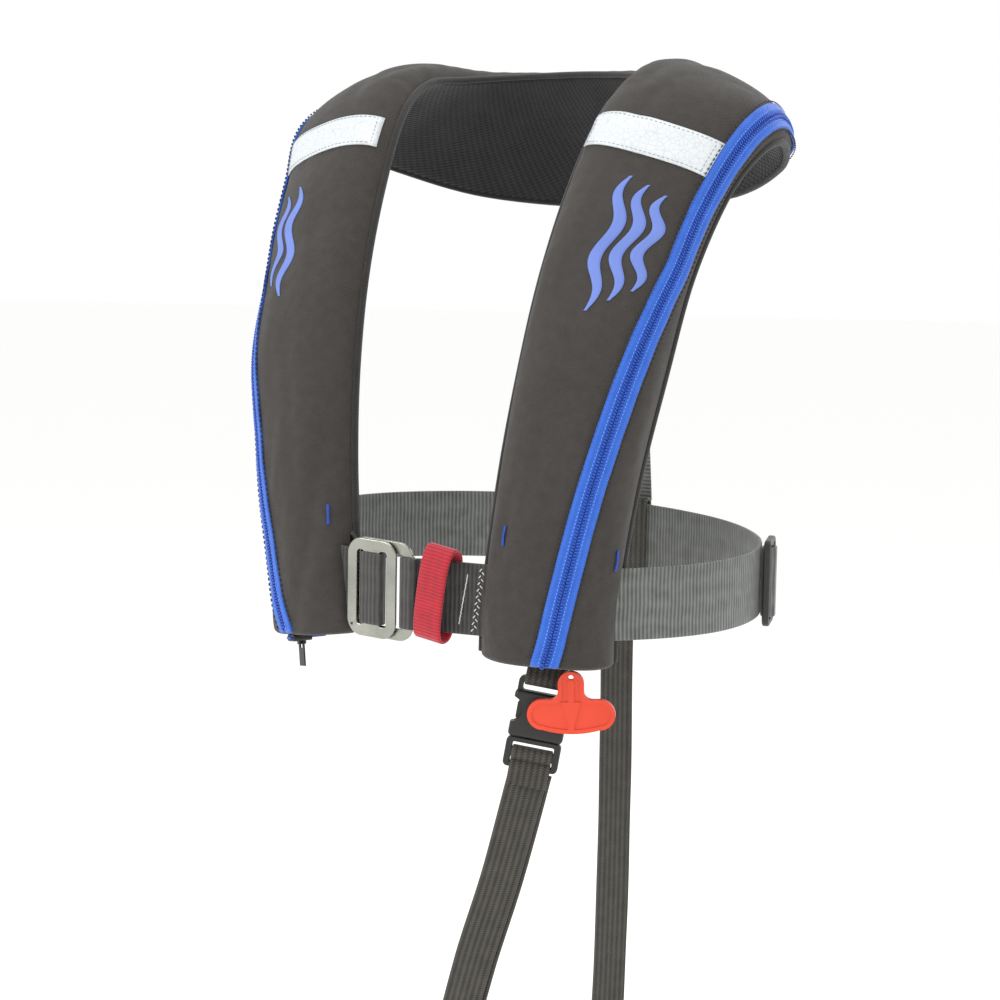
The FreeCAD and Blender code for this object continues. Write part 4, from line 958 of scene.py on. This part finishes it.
def makeWaves():
    for label, side in (("Left", 1), ("Right", -1)):
        low, high, t0, t1 = waves[label.lower()]
        lanes = 3 if side > 0 else 2
        for k in range(lanes):
            a = t0 + (t1 - t0) * k / lanes
            waveStripe(f"wavePrint{label}{k + 1}", side, low + 0.10 * k, high - 0.10 * k, a,
                       a + (t1 - t0) / lanes, 0.0)
    print("printed waves made")


# belt and straps
belt = {"wide": 0.045, "thick": 0.0022, "a": 0.160, "b": 0.127, "z": -0.330, "slope": 3.4,
        "sideAngle": 108.0, "leftStart": 3.4}


def turned(points, rotations):
    for axis, degrees in rotations:
        c, s = math.cos(math.radians(degrees)), math.sin(math.radians(degrees))
        a, b = {"x": (1, 2), "y": (2, 0), "z": (0, 1)}[axis]
        first, second = points[..., a].copy(), points[..., b].copy()
        points = points.copy()
        points[..., a], points[..., b] = first * c - second * s, first * s + second * c
    return points


def onBelt(points):
    # belt frame to the row frame: tilt about X, then about Y, then down to the belt's height
    return turned(np.asarray(points, float), [("x", belt["slope"]), ("y", belt["slope"])]) + np.array([0,
                                                                                                       0, belt["z"]])


def bandProfile(wide, thick, columns=9, round_=0.42):
    # closed profile of a flat band with rounded selvedges: across, out
    half = wide / 2
    across = np.linspace(-half + thick * round_, half - thick * round_, columns)
    turn = np.linspace(-math.pi / 2, math.pi / 2, 5)[1:-1]
    right = np.stack([half - thick * round_ + np.cos(turn) * thick * round_, np.sin(turn) * thick / 2],
                     axis=1)
    lower = np.stack([across, np.full(columns, -thick / 2)], axis=1)
    upper = np.stack([across[::-1], np.full(columns, thick / 2)], axis=1)
    left = -right
    return np.concatenate([lower, right, upper, left])


def bandAlong(name, path, side, wide, thick, finish, waviness=0.0):
    # a band carried along a path; side is the width's direction at each point
    path = np.asarray(path, float)
    tangent = unitRows(np.gradient(path, axis=0))
    side = np.broadcast_to(np.asarray(side, float), path.shape)
    side = unitRows(side - tangent * np.sum(side * tangent, axis=1, keepdims=True))
    out = np.cross(side, tangent)
    profile = bandProfile(wide, thick)
    run = np.concatenate([[0], np.cumsum(np.linalg.norm(np.diff(path, axis=0), axis=1))])
    cup = waviness * np.sin(run * 2 * math.pi / 0.09)[:, None] * (profile[None, :, 0] / wide)
    rings = (path[:, None, :] + side[:, None, :] * profile[None, :, 0, None]
             + out[:, None, :] * (profile[None, :, 1] + cup)[..., None])
    uv = np.stack([np.repeat(run[:, None], len(profile), 1), np.repeat(profile[None, :, 0], len(run), 0)],
                  axis=-1)
    return tubeMesh(name, rings, finish, uv=uv)


def smoothPath(points, count):
    # Catmull-Rom line through the points, evenly sampled
    points = np.asarray(points, float)
    x = np.linspace(0, len(points) - 1, 40 * len(points))
    i = np.clip(x.astype(int), 0, len(points) - 2)
    u = (x - i)[:, None]
    p0, p1, p2, p3 = (points[np.clip(i + k, 0, len(points) - 1)] for k in (-1, 0, 1, 2))
    line = ((p1 * 2) + (p2 - p0) * u + (p0 * 2 - p1 * 5 + p2 * 4 - p3) * u ** 2
            + (p1 * 3 - p0 - p2 * 3 + p3) * u ** 3) * 0.5
    run = np.concatenate([[0], np.cumsum(np.linalg.norm(np.diff(line, axis=0), axis=1))])
    at = np.linspace(0, run[-1], count)
    return np.stack([np.interp(at, run, line[:, k]) for k in range(3)], axis=1)


def beltPath(start, end, lift, count):
    angle = np.radians(np.linspace(start, end, count))
    return onBelt(np.stack([(belt["a"] + lift) * np.sin(angle), -(belt["b"] + lift) * np.cos(angle),
                            np.zeros(count)], axis=1))


beltUp = onBelt([[0, 0, 1.0]])[0] - onBelt([[0, 0, 0.0]])[0]


def makeBelts():
    # grey ribbed webbing round the sides and back, black webbing at the front, joined inside the lobes
    middle = belt["thick"] / 2
    sideEnd = belt["sideAngle"] + 11
    lanes = [("waistBeltLeftFront", belt["leftStart"], 33, 60, "frontWebbing", ()),
             ("waistBeltLeftSide", 33, sideEnd, 80, "beltWebbing", ("waist_belt_left",)),
             ("waistBeltBack", sideEnd + 0.3 - 360, -34, 200, "beltWebbing", ("waist_belt_right",)),
             ("waistBeltRightFront", -34, -19.5, 40, "frontWebbing", ())]
    for name, start, end, count, finish, stands in lanes:
        band = bandAlong(name, beltPath(start, end, middle, count), beltUp, belt["wide"], belt["thick"],
                         finish, 0.0005)
        pieceOf(band, "jacket", "belt_webbing", *stands)
    # white bar and zigzag rows that sew the belt's end and the loop down
    face = belt["thick"] + 0.0004
    template, faces = bead(0.0026, 0.0008, 0.0007)
    for name, angle, half, swing in (("beltBarStitch", 13.6, 0.0150, 0.0),
                                     ("beltZigzag", 17.0, 0.0190, 0.0009)):
        rise = np.arange(-half, half, 0.0021)
        lean = angle + 0.9 * rise / half
        at = np.radians(lean) + swing / belt["a"] * np.where(np.arange(len(rise)) % 2, 1, -1)
        place = onBelt(np.stack([(belt["a"] + face) * np.sin(at), -(belt["b"] + face) * np.cos(at), rise],
                                axis=1))
        out = unitRows(np.stack([np.sin(at) / belt["a"], -np.cos(at) / belt["b"], 0 * at], axis=1))
        tilt = np.where(np.arange(len(rise)) % 2, -1, 1)[:, None] * (0.9 if swing else 0.12)
        side = unitRows(np.stack([-out[:, 1], out[:, 0], 0 * at], axis=1))
        direction = unitRows(beltUp + side * tilt)
        third = np.cross(out, direction)
        pieceOf(repeated(name, template, faces, np.stack([place, direction, third, out], axis=1),
                         "whiteThread"),
                "jacket", "belt_webbing")
    print("waist belt made")


# buckle webbing
buckle = {"x": -0.019, "turn": -5.5, "frameLeft": -0.0255, "frameWide": 0.039, "bar": 0.013,
          "frameOut": 0.0052, "plate": 0.0025, "ringLeft": -0.025, "ringWide": 0.050, "ringOut": 0.0027,
          "ringPlate": 0.0020, "side": 0.0077}


def onBuckle(points):
    # buckle frame to the row frame: turned about the belt's up direction at the touching point
    touch = np.array([buckle["x"], -belt["b"] * math.sqrt(1 - (buckle["x"] / belt["a"]) ** 2), 0.0])
    return onBelt(turned(np.asarray(points, float), [("z", buckle["turn"])]) + touch)


def flatPath(corners, rounding, count):
    # a line through corners in the buckle's plane (across, out), each corner rounded by chord cutting
    points = np.asarray(corners, float)
    for _ in range(rounding):
        first, second = points[:-1] * 0.75 + points[1:] * 0.25, points[:-1] * 0.25 + points[1:] * 0.75
        inner = np.stack([first, second], axis=1).reshape(-1, 2)
        points = np.concatenate([points[:1], inner, points[-1:]])
    run = np.concatenate([[0], np.cumsum(np.linalg.norm(np.diff(points, axis=0), axis=1))])
    at = np.linspace(0, run[-1], count)
    return np.stack([np.interp(at, run, points[:, 0]), np.interp(at, run, points[:, 1])], axis=1)


def wrapPath(x0, x1, out, thick):
    # middle lines of webbing round a bar: below it, above it, and beside it on both sides
    w, gap = belt["thick"], 0.0003
    low, high = 0.0001 + w / 2, out + thick + gap + w / 2
    left, right = x0 - gap - w / 2, x1 + gap + w / 2
    return low, high, left, right


def makeBuckleWebbing():
    w = belt["thick"]
    middle = buckle["frameLeft"] + buckle["frameWide"] / 2
    a, b = middle - buckle["bar"] / 2, middle + buckle["bar"] / 2
    low, high, left, right = wrapPath(a, b, buckle["frameOut"], buckle["plate"])
    corners = [(-0.047, low - 0.0035), (-0.040, low - 0.0018), (-0.030, low), (left - 0.0035, low),
               (left, low + 0.002),
               (left, high - 0.0015), (left + 0.0015, high), (right - 0.0015, high), (right, high - 0.0015),
               (right, low + 0.0024), (right - 0.002, low + w + 0.0001), (left + 0.004, low + w + 0.0001)]
    path = flatPath(corners, 3, 90)
    points = onBuckle(np.stack([path[:, 0], -path[:, 1], np.zeros(len(path))], axis=1))
    front = bandAlong("buckleFrameWebbing", points, beltUp, belt["wide"], w * 0.96, "frontWebbing")
    tuple(onBuckle([[-0.0300, -0.001, 0]])[0])
    tuple(onBuckle([[-0.0225, -0.001, 0]])[0])
    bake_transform(front)
    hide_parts("frame_webbing_turn")
    x1 = buckle["ringLeft"] + buckle["ringWide"]
    low, high, left, right = wrapPath(x1 - buckle["side"], x1, buckle["ringOut"], buckle["ringPlate"])
    corners = [(0.030, low - 0.0005), (right + 0.003, low), (right, low + 0.001), (right, high - 0.0012),
               (right - 0.0014, high), (left + 0.0014, high), (left, high - 0.0012), (left, low + 0.0012),
               (left + 0.002, low), (right - 0.003, low)]
    path = flatPath(corners, 3, 70)
    points = onBuckle(np.stack([path[:, 0], -path[:, 1], np.zeros(len(path))], axis=1))
    rear = bandAlong("buckleRingWebbing", points, beltUp, belt["wide"], w * 0.96, "frontWebbing")
    pieceOf(rear, "jacket", "belt_webbing", "ring_webbing_turn")
    print("buckle webbing made")


# tether loop
tether = {"x": 0.022, "wide": 0.020, "thick": 0.0020, "lean": 8.0}


def makeTetherLoop():
    # a closed loop in the plane of up and out, round the belt, with a rolled top and a stub below
    low, high = -0.0265, 0.0300
    front, back = 0.0122, -0.0031
    corners = [(back, -0.010), (back, low + 0.006), (back + 0.003, low), (front - 0.004, low - 0.0008),
               (front, low + 0.006), (front + 0.0012, 0.0), (front + 0.0008, high - 0.010), (front - 0.002,
                                                                                             high),
               (0.004, high + 0.0024), (back + 0.0005, high - 0.003), (back, high - 0.012), (back, 0.0)]
    path = flatPath(corners, 3, 110)
    touch = np.array([tether["x"], -belt["b"] * math.sqrt(1 - (tether["x"] / belt["a"]) ** 2), 0.0])
    points = turned(np.stack([np.zeros(len(path)), -path[:, 0], path[:, 1]], axis=1), [("y", tether["lean"])])
    side = onBelt(turned(np.array([[1.0, 0, 0]]), [("y", tether["lean"])])) - onBelt([[0, 0, 0]])
    loop = bandAlong("tetherLoopWebbing", onBelt(points + touch), side[0], tether["wide"], tether["thick"],
                     "redWebbing")
    pieceOf(loop, "jacket", "red_webbing", "tether_loop")
    print("tether loop made")


# straps
strap = {"wide": 0.025, "thick": 0.0018}


clip = {"base": (0.081439, -0.099936, -0.388833), "x": (0.870329, 0.457709, -0.181739),
        "y": (-0.467083, 0.884156, -0.010065), "z": (0.156079, 0.093647, 0.983295),
        "foot": -0.0573}


def onClip(points):
    axes = np.array([clip["x"], clip["y"], clip["z"]])
    return np.asarray(points, float) @ axes + np.array(clip["base"])


def makeStraps():
    side = np.array(clip["x"])
    t = strap["thick"]
    # tab: two layers from the lobe's foot, looped round the socket's head bar
    gap = 0.0042
    corners = [(-0.0012, 0.012), (-0.0014, 0.006), (-gap, 0.0), (-gap, -0.0035), (-0.0018, -0.0048),
               (0.0018, -0.0048), (gap, -0.0035), (gap, 0.0), (0.0014, 0.006), (0.0012, 0.012)]
    path = flatPath(corners, 3, 60)
    tab = bandAlong("strapTabWebbing", onClip(np.stack([np.zeros(len(path)), path[:, 0], path[:, 1]],
                                                       axis=1)), side,
                    strap["wide"], t, "strapWebbing")
    pieceOf(tab, "jacket", "strap_webbing", "strap_tab")
    # ladder turn: over the plug's middle bar and out over its lower bar
    top, foot = -0.0383, clip["foot"]
    barTop, barFoot = top - 0.0072, foot + 0.0070
    g = 0.0044
    corners = [(-0.0062, foot - 0.010), (-0.0058, foot - 0.003), (-0.0056, foot + 0.0028),
               (-0.0010, barFoot - 0.0012),
               (g, barFoot), (g + 0.0004, (barTop + barFoot) / 2), (g, barTop), (0.0, barTop + 0.0018),
               (-g, barTop), (-g - 0.0006, (barTop + barFoot) / 2), (-0.0050, barFoot), (0.0006,
                                                                                         barFoot - 0.0030),
               (0.0050, foot + 0.002), (0.0048, foot - 0.006)]
    path = flatPath(corners, 3, 120)
    ladder = bandAlong("ladderTurnWebbing", onClip(np.stack([np.zeros(len(path)), path[:, 0], path[:, 1]],
                                                            axis=1)),
                       side, strap["wide"], t * 0.9, "strapWebbing")
    pieceOf(ladder, "clip_plug", "strap_webbing", "ladder_webbing")
    # front strap: down the belly and under; its foot stays with the rear strap when the clip opens
    front = np.array(strapFront) / 1000
    lane = np.linspace(0, 1, 90)[:, None] ** 0.7
    sideRun = np.array([0.94, 0.34, 0.0]) * (1 - lane) + np.array([1.0, 0.0, 0.0]) * lane
    crotch = bandAlong("crotchStrapFront", smoothPath(front, 90), sideRun, strap["wide"], t,
                       "strapWebbing", 0.0004)
    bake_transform(crotch)
    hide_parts("crotch_strap_front")
    behind = np.array([-0.35, 0.93, 0]) * 0.0034 + np.array([0.0018, 0.0006, 0])
    tail = bandAlong("crotchStrapTail", smoothPath(front[:5] + behind, 70), np.array([0.94, 0.34, 0.0]),
                     strap["wide"], t,
                     "strapWebbing", 0.0006)
    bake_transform(tail)
    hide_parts("crotch_strap_tail")
    rear = bandAlong("crotchStrapRear", smoothPath(np.array(strapRear) / 1000, 110), np.array([1.0, 0, 0]),
                     strap["wide"], t,
                     "strapWebbing", 0.0004)
    pieceOf(rear, "jacket", "strap_webbing", "crotch_strap_rear")
    back = bandAlong("backStrapWebbing", smoothPath(np.array(backRoute) / 1000, 60), np.array([1.0, 0, 0]),
                     0.040, t,
                     "beltWebbing", 0.0006)
    pieceOf(back, "jacket", "strap_webbing", "back_strap")
    print("straps made")


strapFront = [(72.2, -105.5, -446.4), (54, -109, -512), (35, -113, -571), (18, -112, -630),
              (6, -101, -685), (1, -73, -729), (0, -32, -752), (0, 8, -756)]
strapRear = [(0, 9, -756), (0, 50, -747), (0, 87, -716), (0, 106, -665),
             (0, 114, -590), (0, 119, -490), (0, 121, -400), (0, 122, -352)]
backRoute = [(0, 115.2, -103), (0, 121.5, -140), (0, 126, -200), (0, 130.5, -262), (0, 132.6, -299)]


def makeBeltTunnel():
    corners = [(-0.0016, -0.024), (-0.0016, 0.0), (-0.0012, 0.0245), (0.0018, 0.0252), (0.0048, 0.024),
               (0.0052, 0.0),
               (0.0048, -0.024), (0.0018, -0.0252), (-0.0012, -0.0245), (-0.0016, -0.020)]
    path = flatPath(corners, 2, 70)
    points = np.stack([np.zeros(len(path)), belt["b"] - 0.0009 + path[:, 0], path[:, 1]], axis=1)
    piece = bandAlong("beltTunnelWebbing", onBelt(points), np.array([1.0, 0, 0]), 0.040, 0.0018,
                      "strapWebbing")
    pieceOf(piece, "jacket", "strap_webbing", "belt_tunnel")


# hidden float
def makeFloat():
    parts = [("floatCollar", np.linspace(4, lastStation - 4, 97), 0.18, 0.80, 0.0052, -0.0064, "bladder"),
             ("floatRollLeft", np.linspace(1.72, 3.88, 25), 0.74, 0.89, 0.0062, None, "bladder_roll_left"),
             ("floatRollRight", lastStation - np.linspace(1.72, 3.88, 25), 0.11, 0.26, 0.0062, None,
              "bladder_roll_right")]
    for name, s, t0, t1, low, high, node in parts:
        inner, across, out, width, thick = yokeFrame(s)[:5]
        top = thick + high if high else np.full(s.shape, 0.0148)
        turn = np.linspace(0, 2 * math.pi, 28, endpoint=False)
        cx = np.sign(np.cos(turn)) * np.abs(np.cos(turn)) ** 0.6
        cy = np.sign(np.sin(turn)) * np.abs(np.sin(turn)) ** 0.6
        mid, half = (low + top) / 2, (top - low) / 2
        fold = 1 - 0.06 * np.abs(np.sin(2.5 * turn))[None, :]
        x = width[:, None] * ((t0 + t1) / 2 + (t1 - t0) / 2 * cx[None, :] * fold)
        y = mid[:, None] + half[:, None] * cy[None, :] * fold
        rings = inner[:, None, :] + across[:, None, :] * x[..., None] + out[:, None, :] * y[..., None]
        pieceOf(tubeMesh(name, rings, "floatCloth", uv=gridUv(rings)), "jacket", "float_cloth", node)
    print("float made")


# adjuster webbing
def makeAdjusterTurn():
    # the belt's turn over the side slide's middle bar, in the belt's plane where the slide sits
    angle = math.radians(belt["sideAngle"])
    tangent = unitRows(np.array([belt["a"] * math.cos(angle), belt["b"] * math.sin(angle), 0.0]))
    out = np.array([tangent[1], -tangent[0], 0.0])
    clear, thick, w = belt["thick"] + 0.0009, 0.0045, belt["thick"]
    base = np.array([(belt["a"] + w) * math.sin(angle), -(belt["b"] + w) * math.cos(angle),
                     0.0]) + out * clear
    a, lowY, highY = 0.0033 + w / 2, -0.0004 - w / 2, thick + 0.0004 + w / 2
    corners = [(0.0, lowY), (a - 0.002, lowY), (a, lowY + 0.0015), (a, highY - 0.0015), (a - 0.0018, highY),
               (-a + 0.0018, highY), (-a, highY - 0.0015), (-a, lowY + 0.0015), (-a + 0.002,
                                                                                 lowY), (-0.0005, lowY)]
    path = flatPath(corners, 3, 60)
    points = base + tangent * path[:, :1] + out * path[:, 1:]
    piece = bandAlong("adjusterTurnWebbing", onBelt(points), beltUp, belt["wide"], w * 0.9, "beltWebbing")
    pieceOf(piece, "side_adjuster", "belt_webbing", "adjuster_webbing_turn")


# carried-over parts
def finishNodes():
    table = {"buckle_frame": "steel", "buckle_ring": "steel", "side_adjuster": "blackPlastic",
             "clip_socket": "blackPlastic",
             "clip_plug": "blackPlastic", "clip_arm_left": "blackPlastic", "clip_arm_right": "blackPlastic",
             "pull_handle": "handle", "pull_cord": "lanyard", "inflator_body": "yellowPlastic", "inflator_lever": "handle",
             "firing_pin": "steel", "co2_cylinder": "cylinderPaint", "sensor_cap": "greenPlastic", "oral_tube": "tubeRubber",
             "oral_valve": "blackPlastic", "oral_poppet": "greenPlastic", "oral_cap": "blackPlastic",
             "whistle": "orangePlastic",
             "zip_slider": "zipMetal", "zip_puller": "zipMetal", "zip_tail": "zipCoil"}
    for name, finish in table.items():
        obj = nodes[name]
        if not obj.material_slots:
            obj.data.materials.append(finishes[finish])
        for place in obj.material_slots:
            place.material = finishes[finish]


makeFinishes()
makeCamera()
makeStudio()
surface = {}
surface["rings"], surface["stations"], surface["t"] = makeSurface()
makeCovers()
makePanels()
ribbon = makeZipRibbon()
makeZip()
makeTacks()
makeSlitMouth()
makePatches()
makeWaves()
makeBelts()
makeBuckleWebbing()
makeTetherLoop()
makeStraps()
makeBeltTunnel()
makeFloat()
makeAdjusterTurn()
finishNodes()
